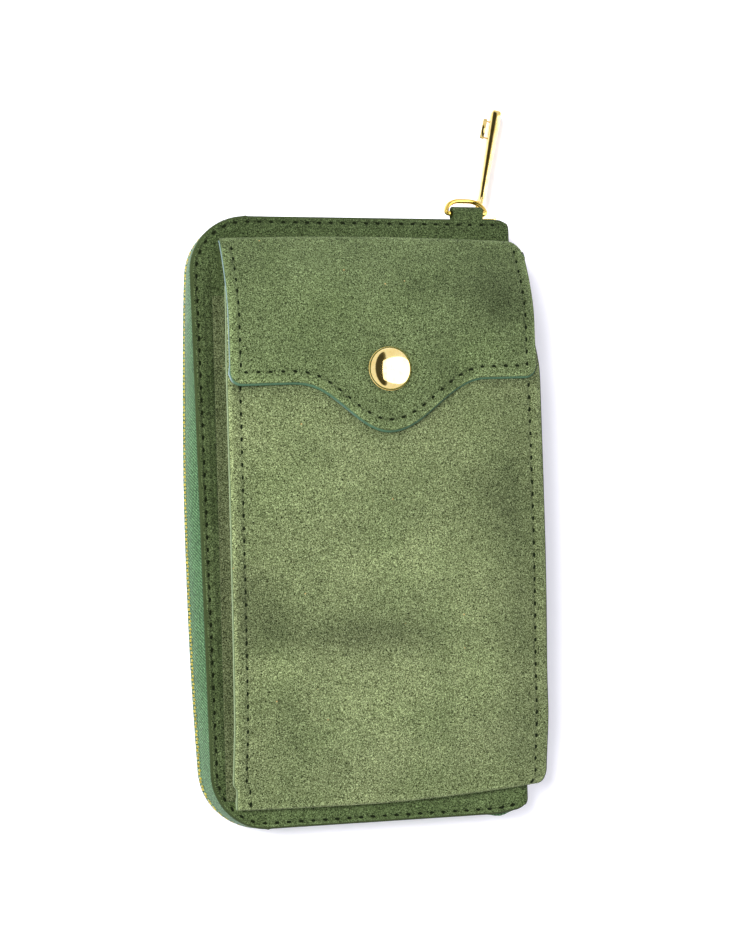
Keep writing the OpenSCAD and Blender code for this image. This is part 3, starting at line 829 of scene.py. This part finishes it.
# A tooth's rings are (height, half depth, half length), and its outline is a share of the two halves
TOOTH_SHAPE = [(0.0, 0.85, 0.38), (0.25, 1.12, 0.5), (1.5, 1.2, 0.55), (2.0, 1.2, 0.55), (2.45, 1.05, 0.5),
               (2.9, 0.85, 0.42), (3.2, 0.45, 0.28)]
TOOTH_OUTLINE = [(1, 0.55), (0.55, 1), (-0.55, 1), (-1, 0.55),
                 (-1, -0.55), (-0.55, -1), (0.55, -1), (1, -0.55)]


def bulge(y):
    return SIDE_BULGE * (1 - (y / HALF_L) ** 2)


def along(s):
    """A place on the covers' edge: x, y, angle of the outward normal and the zip's bulge."""
    edge = bulge(CORNER_Y)
    a = s - STRAIGHT_L
    b = a - ARC_L
    c = b - SIDE_L
    d = c - ARC_L
    if a < 0:
        return FIRST_TOOTH_X - s, HALF_L, math.pi / 2, 0.0
    if b < 0:
        t = a / CORNER_R
        x, y = CORNER_X - CORNER_R * math.sin(t), CORNER_Y + CORNER_R * math.cos(t)
        return x, y, math.pi / 2 + t, edge * (1 - math.cos(t))
    if c < 0:
        return ZIP_X, CORNER_Y - b, math.pi, bulge(CORNER_Y - b)
    if d < 0:
        t = c / CORNER_R
        x, y = CORNER_X - CORNER_R * math.cos(t), -CORNER_Y - CORNER_R * math.sin(t)
        return x, y, math.pi + t, edge * (1 - math.sin(t))
    return CORNER_X + d, -HALF_L, 1.5 * math.pi, 0.0


def tape_half(name, z_sewn, z_teeth, body, cad):
    """Half of the zip's tape, from under a cover's edge out to its teeth."""
    front = body == "front_half"
    run = TAPE_END_X - FIRST_TOOTH_X
    grid = []
    for s in np.linspace(-run, CHAIN_L + run, 260):
        x, y, a, b = along(s)
        row = []
        for u in np.linspace(0, 1, 13):
            ripple = 0.10 * math.sin(s / 9.0) * math.sin(math.pi * u) * (b > 0)
            out = -TAPE_INSET + b * (1 - (1 - u) ** 1.8) + ripple
            out += 0.22 * math.exp(-((u - 0.93) / 0.06) ** 2)
            out += 0.9 * math.exp(-((x - 44.5) / 3) ** 2) * (y < 0) * front * (1 - u)
            lean = sewn_lean(x, y) * front * (1 - u)
            row.append((x + out * math.cos(a) - lean, y + out * math.sin(a), z_sewn + (z_teeth - z_sewn) * u))
        grid.append(row)
    grid = ease_corner(np.array(grid)).transpose(1, 0, 2)
    if z_teeth > z_sewn:
        grid = grid[:, ::-1]
    fit(slab(name, grid, TAPE_T, TAPE), body, "zip_tape", cad)


def add_tooth(points, faces, p, angle, foot, up):
    """One cast tooth: legs clamped on the tape and a rounded head."""
    n = np.array((math.cos(angle), math.sin(angle), 0))
    t = np.array((-math.sin(angle), math.cos(angle), 0))
    made = join_rings(len(points), len(TOOTH_SHAPE), len(TOOTH_OUTLINE))
    faces += made if up > 0 else [face[::-1] for face in made]
    for height, deep, long in TOOTH_SHAPE:
        for a, b in TOOTH_OUTLINE:
            points.append(p + n * (a * deep) + t * (b * long) + np.array((0, 0, foot + up * height)))


def tooth_row(name, start, foot, up, body, cad):
    points, faces = [], []
    for i in range(TEETH_N):
        x, y, a, b = along(start + i * TOOTH_PITCH)
        out = b - TAPE_INSET - TAPE_T / 2
        add_tooth(points, faces, np.array((x + out * math.cos(a), y + out * math.sin(a), 0)), a, foot, up)
    fit(add_mesh(name, points, faces, [TOOTH_GOLD]), body, "gold_metal", cad)


def make_zip():
    tape_half("back_tape", BACK_HI[2] + 0.6, MID_Z - TAPE_EDGE, "back_half", "back_zip_tape")
    tape_half("front_tape", FRONT_TOP - FRONT_COVER_T + 0.3, MID_Z + TAPE_EDGE,
              "front_half", "front_zip_tape")
    tooth_row("back_teeth", 0, MID_Z - TOOTH_FOOT, 1, "back_half", "back_zip_teeth")
    tooth_row("front_teeth", TOOTH_PITCH / 2, MID_Z + TOOTH_FOOT, -1, "front_half", "front_zip_teeth")
    fit(finished_copy("zip_stops", "bottom_stop", TOOTH_GOLD, 0.3), "back_half", "gold_metal")
    make_puller()
    for cad, name, body, bevel in (("zip_slider", "slider", "zip_slider", 0.28),
                                   ("coin_slider", "coin_zip_slider", "coin_slider", 0.1),
                                   ("coin_puller", "coin_zip_puller", "coin_puller", 0.15)):
        fit(finished_copy(cad, name, GOLD, bevel), body, "gold_metal")


def bar(points, faces, ends, halves, ways, around=20):
    """Adds a straight stick of rounded section between two points, with its half sizes along two ways."""
    faces += join_rings(len(points), len(ends), around)
    small = min(halves)
    for end in ends:
        for k in range(around):
            t = 2 * math.pi * (k + 0.5) / around
            place = np.array(end, float)
            for half, way, turn in zip(halves, ways, (math.cos(t), math.sin(t))):
                place += way * (small * turn + math.copysign(half - small, turn))
            points.append(place)


def puller_blade(points, faces, reach):
    """The blade, which grows wider and deeper from the arms to a tip with rounded edges."""
    tip = reach - np.array((1.2, 0.6, 0.25, 0.0))
    stations = np.concatenate([[0, 0.4, 1.0], np.linspace(2, reach - 2, 12), tip])
    around = 28
    faces += join_rings(len(points), len(stations), around)
    for s in stations:
        t = min(1.0, s / (reach - 1.5))
        cut = max(0.0, s - (reach - 1.2)) / 1.2
        foot, head = -2.6 - 5.0 * t + 0.7 * cut ** 2, 2.4 - 3.3 * t - 0.5 * cut ** 2
        half = (0.85 + 0.75 * t - 0.4 * cut ** 2) * min(1.0, 0.45 + s)
        for k in range(around):
            a = 2 * math.pi * (k + 0.5) / around
            wide, tall = half * math.cos(a), math.sin(a)
            brow = head + 0.30 * min(0.0, wide) + 0.05 * max(0.0, wide)
            rounding = 0.3 * half * (1 - math.sqrt(1 - max(0.0, abs(math.cos(a)) - 0.8) ** 2 / 0.0401))
            shoulder = brow - 0.3 * half
            z = brow - rounding if tall > 0 else shoulder + (shoulder - foot) * tall
            points.append(np.array((wide, PULLER_ROOT + s, z)))


def puller_staple(points, faces, near, far):
    """The staple on the blade's left side, with its two feet."""
    x, y, z = np.eye(3)
    tilt = math.radians(14)
    sloped = (x * math.cos(tilt) + z * math.sin(tilt), z * math.cos(tilt) - x * math.sin(tilt))
    bar(points, faces, [(-2.7, near, -4.3), (-2.7, far, -4.3)], (0.68, 0.22), sloped)
    for at in (near + 0.6, far - 0.6):
        bar(points, faces, [(-2.6, at, -4.5), (-0.8, at, -4.5)], (0.22, 0.2), (y, z))


def make_puller():
    """The long flat puller: two arms on a pin, a blade and a staple for a cord."""
    hinge = joint_mm("puller_swing")
    length = (box_mm("zip_puller")[1][1] - hinge[1]) / math.cos(PULLER_LEAN) - 0.2
    x, y, z = np.eye(3)
    points, faces = [], []
    bar(points, faces, [(0, 0, -2.6), (0, 0, 2.4)], (0.72, 0.72), (x, y))
    for at in (-2.1, 1.9):
        bar(points, faces, [(0, 0, at), (0, PULLER_ROOT + 1.2, at)], (0.6, 0.5), (x, z))
    puller_blade(points, faces, length - PULLER_ROOT)
    puller_staple(points, faces, length - 10.2, length - 3.2)
    c, s = math.cos(PULLER_LEAN), math.sin(PULLER_LEAN)
    placed = np.array(points) @ np.array(((c, s, 0), (-s, c, 0), (0, 0, 1))).T + hinge
    fit(add_mesh("puller", placed, faces, [PULLER_GOLD]), "zip_puller", "gold_metal", "zip_puller")


# ---------------------------------------------------------------- linings and inside

def lining_skin(front):
    """Lining of a cover, on round the fold to the middle of the spine."""
    inset, bend = 1.8, 1.6
    side = 1 if front else -1
    level = FRONT_LINING_Z if front else BACK_LINING_Z
    fold_x = SPINE_LINING_X - bend
    y = cover_rows(inset, 16, 4.0)
    left = cover_left(y, inset)
    columns = [column(left + (fold_x - left) * t, y, level) for t in np.linspace(0, 1, 30)]
    columns += fold_columns(SPINE_LINING_X, bend, 6, level, side, y * 0.985, MID_Z, 5)
    grid = np.stack(columns, 1)
    grid[..., 2] -= side * 0.08 * (1 + lumps(grid, 18, 9.2)) * (grid[..., 0] < fold_x)
    grid = ease_corner(grid)
    if front:
        return slab("front_inner_lining", grid[::-1], LINING_T, LINING)
    return slab("back_inner_lining", grid, LINING_T, LINING)


def make_linings():
    make_skins(lining_skin, ["front_lining", "spine_lining"], "back_lining")


def flat_sheet(name, low, high, material, body, slot, cad=None, up=1, edge=None, step=2.0, next_edge=None):
    """A flat sewn panel between two corners, with a slightly uneven face. up is the side that shows.

    A panel with next_edge is one of a stack of card slots: its hem is folded and gapes a little, and it is
    darker along the next panel's hem, where a painted shadow of that hem lies."""
    nx, ny = (max(3, int((high[k] - low[k]) / step)) for k in range(2))
    rim = (high[2] - low[2]) / 2
    x = np.linspace(low[0] + rim, high[0] - rim, nx)
    y = np.linspace(low[1] + rim, high[1] - rim, ny)
    tone_and_painted_light = 0.0
    if next_edge is not None:
        x = np.concatenate([x[0] + np.arange(8) * 0.4, np.arange(x[0] + 3.2, x[-1], 0.8)])
    gx, gy = np.meshgrid(x, y)
    grid = np.stack([gx, gy, np.full_like(gx, high[2] if up > 0 else low[2])], 2)
    grid[..., 2] += up * SHEET_SAG * lumps(grid, 16, low[0])
    if next_edge is not None:
        hem = gx - low[0]
        across = np.sin(np.pi * (gy - low[1]) / (high[1] - low[1]))
        grid[..., 2] += 0.12 * band(hem, 0.9, 0.9) + 0.35 * across * smoothstep((4 - hem) / 4)
        tone_and_painted_light = 0.42 * smoothstep((1.7 - hem) / 0.3) - 0.25 * band(hem, 2.2, 0.3)
        # Painted shadow of the next panel's hem.
        tone_and_painted_light -= 0.45 * band(gx, next_edge - 0.4, 1.1) * (gx < next_edge + 0.6)
    if up < 0:
        grid = grid[::-1]
    made = slab(name, grid, high[2] - low[2], material, edge, tone_and_painted_light=tone_and_painted_light)
    fit(made, body, slot, *([cad] if cad else []))


def make_card_slots():
    """Two stacks of card slots, with a row of stitches along each hem."""
    for k in range(1, 5):
        cad = f"card_slots_{k}"
        low, high = box_mm(cad)
        middle = (low[1] + high[1]) / 2
        above = box_mm(f"card_slots_{k + 1}")[0][0] if k < 4 else high[0] + 20
        for j, (y0, y1) in enumerate(((low[1], middle - 1), (middle + 1, high[1]))):
            name = f"card_slot_{k}_{j + 1}"
            flat_sheet(name, (low[0], y0, low[2]), (high[0], y1, high[2]), SLOT_SUEDE, "back_half",
                       "slot_suede", cad if j == 0 else None, edge=TEAL_EDGE, next_edge=above)
            arch = [(low[0] + 2.2, y0 + 2 + t * (y1 - y0 - 4), high[2] + 0.30 * math.sin(math.pi * t))
                    for t in np.linspace(0, 1, 12)]
            sewn = stitches(f"{name}_stitches", arch, lambda p: (0, 0, 1), width=0.6, pitch=3.2, sink=-0.05)
            fit(sewn, "back_half", "slot_suede")


def make_coin_pouch():
    """The pouch's panel on both sides of its zip, the zip's two tapes and its teeth."""
    slot_x = (box_mm("coin_slider")[0][0] + box_mm("coin_slider")[1][0]) / 2
    low, high = box_mm("coin_panel")
    for j, (x0, x1) in enumerate(((low[0], slot_x - 4.5), (slot_x + 4.5, high[0]))):
        flat_sheet(f"coin_pouch_{j + 1}", (x0, low[1], low[2]), (x1, high[1], high[2]), SLOT_SUEDE,
                   "front_half", "slot_suede", "coin_panel" if j == 0 else None, up=-1, edge=TEAL_EDGE)
    low, high = box_mm("coin_zip_tape")
    for j, (x0, x1, sewn_x) in enumerate(((low[0], slot_x - TAPE_EDGE, low[0] + 0.9),
                                          (slot_x + TAPE_EDGE, high[0], high[0] - 0.9))):
        name = f"coin_tape_{j + 1}"
        flat_sheet(name, (x0, low[1], low[2]), (x1, high[1], high[2]), TAPE, "front_half", "zip_tape",
                   "coin_zip_tape" if j == 0 else None, up=-1, step=1.2)
        line = [(sewn_x, low[1] + 2, low[2]), (sewn_x, high[1] - 2, low[2])]
        sewn = stitches(f"{name}_stitches", line, lambda p: (0, 0, -1),
                        length=1.8, width=0.35, pitch=3.0, sink=0.08)
        fit(sewn, "front_half", "slot_suede")
    fit(finished_copy("coin_zip_teeth", "coin_teeth", TOOTH_GOLD, 0.22, 2), "front_half", "gold_metal")


def make_inside():
    low, high = box_mm("bill_divider")
    flat_sheet("bill_pocket", low, high, LINING, "back_half", "lining", "bill_divider")
    make_card_slots()
    make_coin_pouch()


# ---------------------------------------------------------------- pocket and flap

def flap_height(y):
    """Height of the flap's face, which rises from its fold to the pocket."""
    t = np.clip((FLAP_Y - y) / FLAP_RISE, 0, 1)
    return FLAP_BASE_Z + (FLAP_TOP_Z - FLAP_BASE_Z) * np.sin(np.pi / 2 * t)


def pocket_face(y):
    """Height of the pocket's outer face along the wallet."""
    fall = 4.6 * np.maximum(0, (40 - y) / (40 - POCKET_FOOT)) ** 2.5
    dip = 1.6 * smoothstep((y - 56) / 20)
    return POCKET_TOP_Z + 0.9 - fall - dip


def pocket_profile():
    """(y, z) points from under the fold at the foot, round it, and up the face to the mouth."""
    base = FRONT_TOP + 0.5
    top = base + 2 * FOLD_R
    under_y = np.array([POCKET_FOOT + 7, POCKET_FOOT + 4])
    turn = np.linspace(-math.pi / 2, math.pi / 2, 22)
    fold_y = POCKET_FOOT + FOLD_R * (1 - np.cos(turn))
    fold_z = base + FOLD_R + FOLD_R * np.sin(turn)
    face_y = np.concatenate([POCKET_FOOT + FOLD_R + np.arange(1, 14) * 0.6,
                             np.linspace(POCKET_FOOT + 9.9, MOUTH_Y, 106)])
    rise = smoothstep((face_y - POCKET_FOOT - FOLD_R) / 30) ** 0.8
    face_z = top + (pocket_face(face_y) - top) * rise
    return np.concatenate([under_y, fold_y, face_y]), np.concatenate([[base, base], fold_z, face_z])


def pocket_sides(y):
    """Left and right edges of the pocket's front at each y, tucked in at the mouth and rounded at the foot."""
    mouth = smoothstep((y - 46) / (MOUTH_Y - 46))
    left = POCKET_LEFT + 0.6 + 1.2 * smoothstep((POCKET_FOOT + 8.6 - y) / 2.2) + 1.6 * mouth
    into = np.clip((POCKET_FOOT + 5.5 - y) / 5.5, 0, 1)
    right = POCKET_RIGHT + 0.8 - 3.0 * mouth - 4.2 * (1 - np.sqrt(1 - into ** 2 * 0.99))
    return left, right + 0.9 * smoothstep((POCKET_FOOT + 45 - y) / 40)


def pocket_grid():
    """The pocket front's outer face and its tone_and_painted_light values: marks, painted shade in the seam
    grooves and under the flap, and painted highlights on the left edge and on the fold at the foot.
    """
    y, z = pocket_profile()
    near = np.linspace(0, 5.4, 19)
    middle = np.linspace(0, 1, 49)[1:-1]
    left, right = (side[:, None] for side in pocket_sides(y))
    inner_l, inner_r = left + near[-1], right - near[-1]
    gx = np.concatenate([left + near, inner_l + (inner_r - inner_l) * middle, right - near[::-1]], 1)
    gx, gy, gz = np.broadcast_arrays(gx, y[:, None], z[:, None])
    grid = np.stack([gx, gy, gz], 2)
    low = smoothstep((POCKET_FOOT + 30 - gy) / 28)
    grid[..., 1] += low * (3.3 * np.clip(gx / 56, 0, 1) ** 1.6 + 0.5 * np.clip(-gx / 47, 0, 1) ** 2)
    side = np.minimum(gx - left, right - gx)
    face = smoothstep((gy - POCKET_FOOT - 1) / 7)
    puff = 1.1 * smoothstep((side - 3) / 22) * smoothstep((gy - POCKET_FOOT) / 30)
    ridges = 0.12 * band(side, 2.2, 1.1) - 0.34 * band(side, POCKET_SEAM, 0.42)
    ridges -= 0.4 * smoothstep((1.2 - side) / 1.2)
    wavy = 0.45 * lumps(grid, 34, 2.2) + 0.16 * lumps(grid, 12, 6.1)
    lift = 1.3 * smoothstep((gx - 20) / 36) * smoothstep((gy + 70) / 60)
    tucked = -4.5 * smoothstep((gy - 44) / (MOUTH_Y - 44)) * smoothstep((16 - side) / 16)
    grid[..., 2] += (puff - 0.9 + ridges + lift + tucked) * face + wavy * face * smoothstep(side / 8)
    pinch = smoothstep((5 - side) / 5) * (1 - face) * (gz - FRONT_TOP - 0.5)
    grid[..., 2] -= 0.45 * pinch
    # Painted shade in the seam grooves, on top of the marks.
    tone_and_painted_light = nap_and_shade(grid, POCKET_MARKS) - 0.26 * band(side, POCKET_SEAM, 0.4) * face
    # Painted highlight along the left edge, which faces the lamp, and a paler band along both edges.
    tone_and_painted_light += 0.46 * smoothstep((1.25 - (gx - left)) / 0.8) + 0.10 * smoothstep((2.6 - side) / 2)
    # Painted highlight on the fold at the foot.
    tone_and_painted_light += 0.34 * band(gy, POCKET_FOOT + 0.8, 1.0) * (gz > FRONT_TOP + 1.4)
    shade = band(np.maximum(0, scallop(gx) - gy), 0, 3.0) * smoothstep((scallop(gx) + 3 - gy) / 3)
    tone_and_painted_light += 0.40 - 0.34 * shade
    return grid, tone_and_painted_light


def make_pocket():
    grid, tone_and_painted_light = pocket_grid()
    front = slab("pocket_panel", grid, 1.2, POCKET_SUEDE, POCKET_EDGE, rim=6, tone_and_painted_light=tone_and_painted_light)
    fit(front, "front_half", "flap_suede", "pocket_front")
    normal = grid_normals(grid)
    lined = grid[34:-1, 2:-2] - normal[34:-1, 2:-2] * 1.26
    inner = slab("pocket_inner_lining", lined[::2, ::2], 0.3, LINING)
    fit(inner, "front_half", "lining", "pocket_lining")
    seam_at = int(round(POCKET_SEAM / 0.3))
    for name, at in (("left", seam_at), ("right", -1 - seam_at)):
        rows_of_stitches(f"pocket_stitches_{name}", grid[16:, at], normal[16:, at], "front_half")
    flat_sheet("pocket_backing", POCKET_BACK_LO + np.array((0, 5, 0)), POCKET_BACK_HI, COVER_SUEDE,
               "front_half", "slot_suede", "pocket_back", edge=COVER_EDGE)
    make_gussets(grid)


def make_gussets(grid):
    """Side walls of the pocket, each with a flange sewn to the cover and one fold that tucks in, drawn darker
    than the pocket's face as painted shade.
    """
    for name, side, foot_x, at in (("left", 1, POCKET_BACK_LO[0], 2), ("right", -1, POCKET_BACK_HI[0], -3)):
        flange = 2.0 if side > 0 else 0.3
        base = FRONT_TOP + 0.75
        sheet = []
        for x, y, z in grid[26:-2:2, at]:
            top = z - 1.3
            reach = min(1.0, max(0.0, (top - base) / 7.0))
            line = [(foot_x - side * flange, y, base - 0.1), (foot_x - side * flange * 0.5, y, base),
                    (foot_x - side * 0.1, y, base + 0.1)]
            for u in np.linspace(0.08, 1, 14):
                tuck = math.sin(math.pi * u) ** 0.8 * 4.0 * reach
                line.append((foot_x + (x - foot_x) * u + side * tuck, y, base + 0.2 + (top - base - 0.2) * u))
            sheet.append(line)
        sheet = np.array(sheet).transpose(1, 0, 2)
        if side > 0:
            sheet = sheet[:, ::-1]
        # Painted shade: the side walls are made darker than the pocket's face.
        made = slab(f"pocket_side_{name}", sheet, 0.6, POCKET_SUEDE, tone_and_painted_light=-0.22)
        fit(made, "front_half", "flap_suede", f"gusset_{name}")


def scallop(x):
    """Lower edge of the flap: a level edge that dips into one rounded tongue."""
    across = x - SNAP_X
    u = np.clip(np.abs(across) / TONGUE_W, 0, 1)
    sharp = np.where(across < 0, 1.3, 1.04)
    return FLAP_SIDE_Y + 0.3 + 0.020 * across - TONGUE_L * ((1 + np.cos(np.pi * u)) / 2) ** sharp


def flap_head(x):
    """Upper edge of the flap, slightly bowed."""
    return FLAP_Y + 0.1 - 1.1 * ((x - 5) / 51) ** 2


def flap_grid():
    """The flap's outer face, its distances in from the sides and the foot, and its tone_and_painted_light
    values, with painted shade in the seam groove and in the dip round the snap and a painted highlight on the
    top fold.
    """
    x0, x1 = FLAP_LO[0] + 0.5, FLAP_HI[0] - 0.5
    radius = 3.4
    near = np.linspace(0, 4.6, 20)
    steps = int((x1 - x0 - 2 * near[-1]) / 1.3)
    middle = np.linspace(x0 + near[-1], x1 - near[-1], steps + 1)[1:-1]
    x = np.concatenate([x0 + near, middle, (x1 - near)[::-1]])
    inside = np.clip(np.minimum(x - x0, x1 - x) / radius, 0, 1)
    rounded = radius * (1 - np.sqrt(np.maximum(0, 1 - (1 - inside) ** 2)))
    lower = scallop(x) + 0.5 + rounded
    head_in = np.clip((x - x1 + 4.2) / 4.2, 0, 1)
    upper = flap_head(x) - 4.2 * (1 - np.sqrt(1 - head_in ** 2 * 0.995))
    inner = lower + near[-1]
    y = np.concatenate([lower + near[:, None], inner + (upper - inner) * np.linspace(0, 1, 60)[1:, None]])
    gx = np.repeat(x[None, :], len(y), 0)
    fold = np.clip((y - (upper - 1.2)) / 1.2, 0, 1)
    z = flap_height(y) - 0.9 * (1 - np.sqrt(np.maximum(0, 1 - fold ** 2)))
    d_side = np.minimum(gx - x0, x1 - gx)
    d_foot = y - lower[None, :]
    edge = np.minimum(d_side, d_foot * 0.9)
    sewn = smoothstep((FLAP_Y - 3 - y) / 3)
    relief = (0.14 * band(edge, 1.6, 0.9) - 0.34 * band(edge, FLAP_SEAM, 0.42)) * sewn
    around_snap = np.hypot(gx - SNAP_X, y - SNAP_Y)
    grid = np.stack([gx, y, z], 2)
    lift = 0.5 * lumps(grid, 30, 4.4) + 0.15 * lumps(grid, 11, 7.7)
    free = smoothstep((FLAP_Y - 6 - y) / 14)
    grid[..., 2] += (relief - 0.35 * band(around_snap, 7.6, 1.6) + lift * free
                     - 0.4 * free * smoothstep((3 - edge) / 3))
    # Painted shade in the seam's groove, on top of the marks.
    tone_and_painted_light = nap_and_shade(grid, FLAP_MARKS) - 0.08 * band(edge, FLAP_SEAM, 0.4) * sewn
    tone_and_painted_light += 0.12 * smoothstep((2.4 - edge) / 0.8) * sewn + 0.22 * smoothstep((1.3 - edge) / 0.9) * sewn
    # Painted highlight on the top fold, and painted shade in the dip round the snap.
    tone_and_painted_light += 0.30 * smoothstep((y - upper + 1.4) / 1.2) - 0.22 * band(around_snap, 7.3, 0.7)
    return grid, d_side, d_foot, tone_and_painted_light


def make_flap():
    grid, d_side, d_foot, tone_and_painted_light = flap_grid()
    top = slab("flap_panel", grid, 0.8, FLAP_SUEDE, rim=6, tone_and_painted_light=tone_and_painted_light)
    fit(top, "flap", "flap_suede", "flap_suede")
    normal = grid_normals(grid)
    under = grid - normal * 0.7
    foot = smoothstep((3 - d_foot) / 3)
    under[..., 1] -= 0.35 * foot
    middle_x = (grid[..., 0].min() + grid[..., 0].max()) / 2
    under[..., 0] += np.sign(grid[..., 0] - middle_x) * 0.25 * smoothstep((3 - d_side) / 3)
    inner = slab("flap_inner_lining", under, 0.8 + 0.7 * foot, LINING, FLAP_EDGE, rim=8)
    fit(inner, "flap", "lining", "flap_lining")
    middle = grid.shape[1] // 2
    left = int(np.argmin(abs(d_side[30, :middle] - FLAP_SEAM)))
    right = grid.shape[1] - 1 - left
    row = int(np.argmin(abs(d_foot[:, middle] - 3.2)))

    def seam(of):
        return np.concatenate([of[row + 2:-3, left][::-1], of[row, left:right + 1], of[row + 2:-3, right]])
    rows_of_stitches("flap_stitches", seam(grid), seam(normal), "flap")


def make_snap():
    radius = (CAP_HI[0] - CAP_LO[0]) / 2 + 0.25
    face = FLAP_TOP_Z
    height = CAP_HI[2] - face
    profile = [(radius * 0.8, face - 0.2), (radius * 0.97, face - 0.15), (radius, face + 0.1),
               (radius, face + 0.3), (radius * 0.985, face + 0.42)]
    profile += [(radius * 0.96 * math.sin(a), face + 0.55 + (height - 0.55) * math.cos(a))
                for a in np.linspace(math.pi / 2, 0.02, 26)]
    fit(revolve("cap_dome", profile, (SNAP_X, SNAP_Y), GOLD), "flap", "gold_metal", "snap_cap")
    for cad, name, body in (("snap_socket", "socket", "flap"), ("snap_stud", "stud", "front_half")):
        fit(finished_copy(cad, name, GOLD, 0.12), body, "gold_metal")


# ---------------------------------------------------------------- ring and tab

def ring_path(centre, wire):
    """The middle of the ring's wire: a D whose straight side is in the tab and whose bow droops a little."""
    droop = math.radians(30)
    half_w = (RING_HI[0] - RING_LO[0]) / 2 - wire
    deep, bend, near = 5.4, 5.2, 0.8
    path = []
    for cx, cy, r, quarter in ((half_w - bend, deep - bend, bend, 0), (bend - half_w, deep - bend, bend, 1),
                               (near - half_w, near, near, 2), (half_w - near, near, near, 3)):
        for a in np.radians(np.linspace(90 * quarter, 90 * quarter + 90, 12)):
            x, y = cx + r * math.cos(a), cy + r * math.sin(a)
            path.append(centre + np.array((x, y * math.cos(droop), -y * math.sin(droop))))
    fine = []
    for a, b in zip(path, path[1:] + path[:1]):
        steps = max(1, int(np.linalg.norm(b - a) / 0.6))
        fine += [a + (b - a) * k / steps for k in range(steps)]
    return fine


def make_tab(centre):
    """The suede tab, which goes round the ring's straight side and back between the covers."""
    outer, half_gap = 1.7, 0.55
    tails = [HALF_L - 9, HALF_L - 3]
    strip = [(y, centre[2] + half_gap) for y in tails]
    strip += [(centre[1] + outer * math.sin(a), centre[2] + outer * math.cos(a))
              for a in np.radians(np.linspace(-20, 200, 30))]
    strip += [(y, centre[2] - half_gap) for y in tails[::-1]]
    x = np.linspace(TAB_LO[0] + 0.3, TAB_HI[0] - 0.3, 16)
    grid = np.array([[(px, py, pz) for px in x] for py, pz in strip[::-1]])
    fit(slab("tab", grid, 0.52, COVER_SUEDE, COVER_EDGE), "front_half", "flap_suede", "ring_tab")


def make_ring():
    wire = 0.8
    centre = joint_mm("ring_swing")
    fit(closed_tube("ring", ring_path(centre, wire), wire, RING_GOLD), "d_ring", "gold_metal", "d_ring")
    make_tab(centre)


def make_boards():
    for name in ("front_board", "back_board"):
        board = frame["nodes"][name]
        board.data.materials.clear()
        board.data.materials.append(BOARD)


def make_floor():
    far, z = 3000, -0.05
    corners = [(-far, -far, z), (far, -far, z), (far, far, z), (-far, far, z)]
    add_mesh("floor", corners, [[0, 1, 2, 3]], [floor_material()])


make_camera()
make_light()
make_floor()
make_covers()
make_zip()
make_linings()
make_inside()
make_pocket()
make_flap()
make_snap()
make_ring()
make_boards()
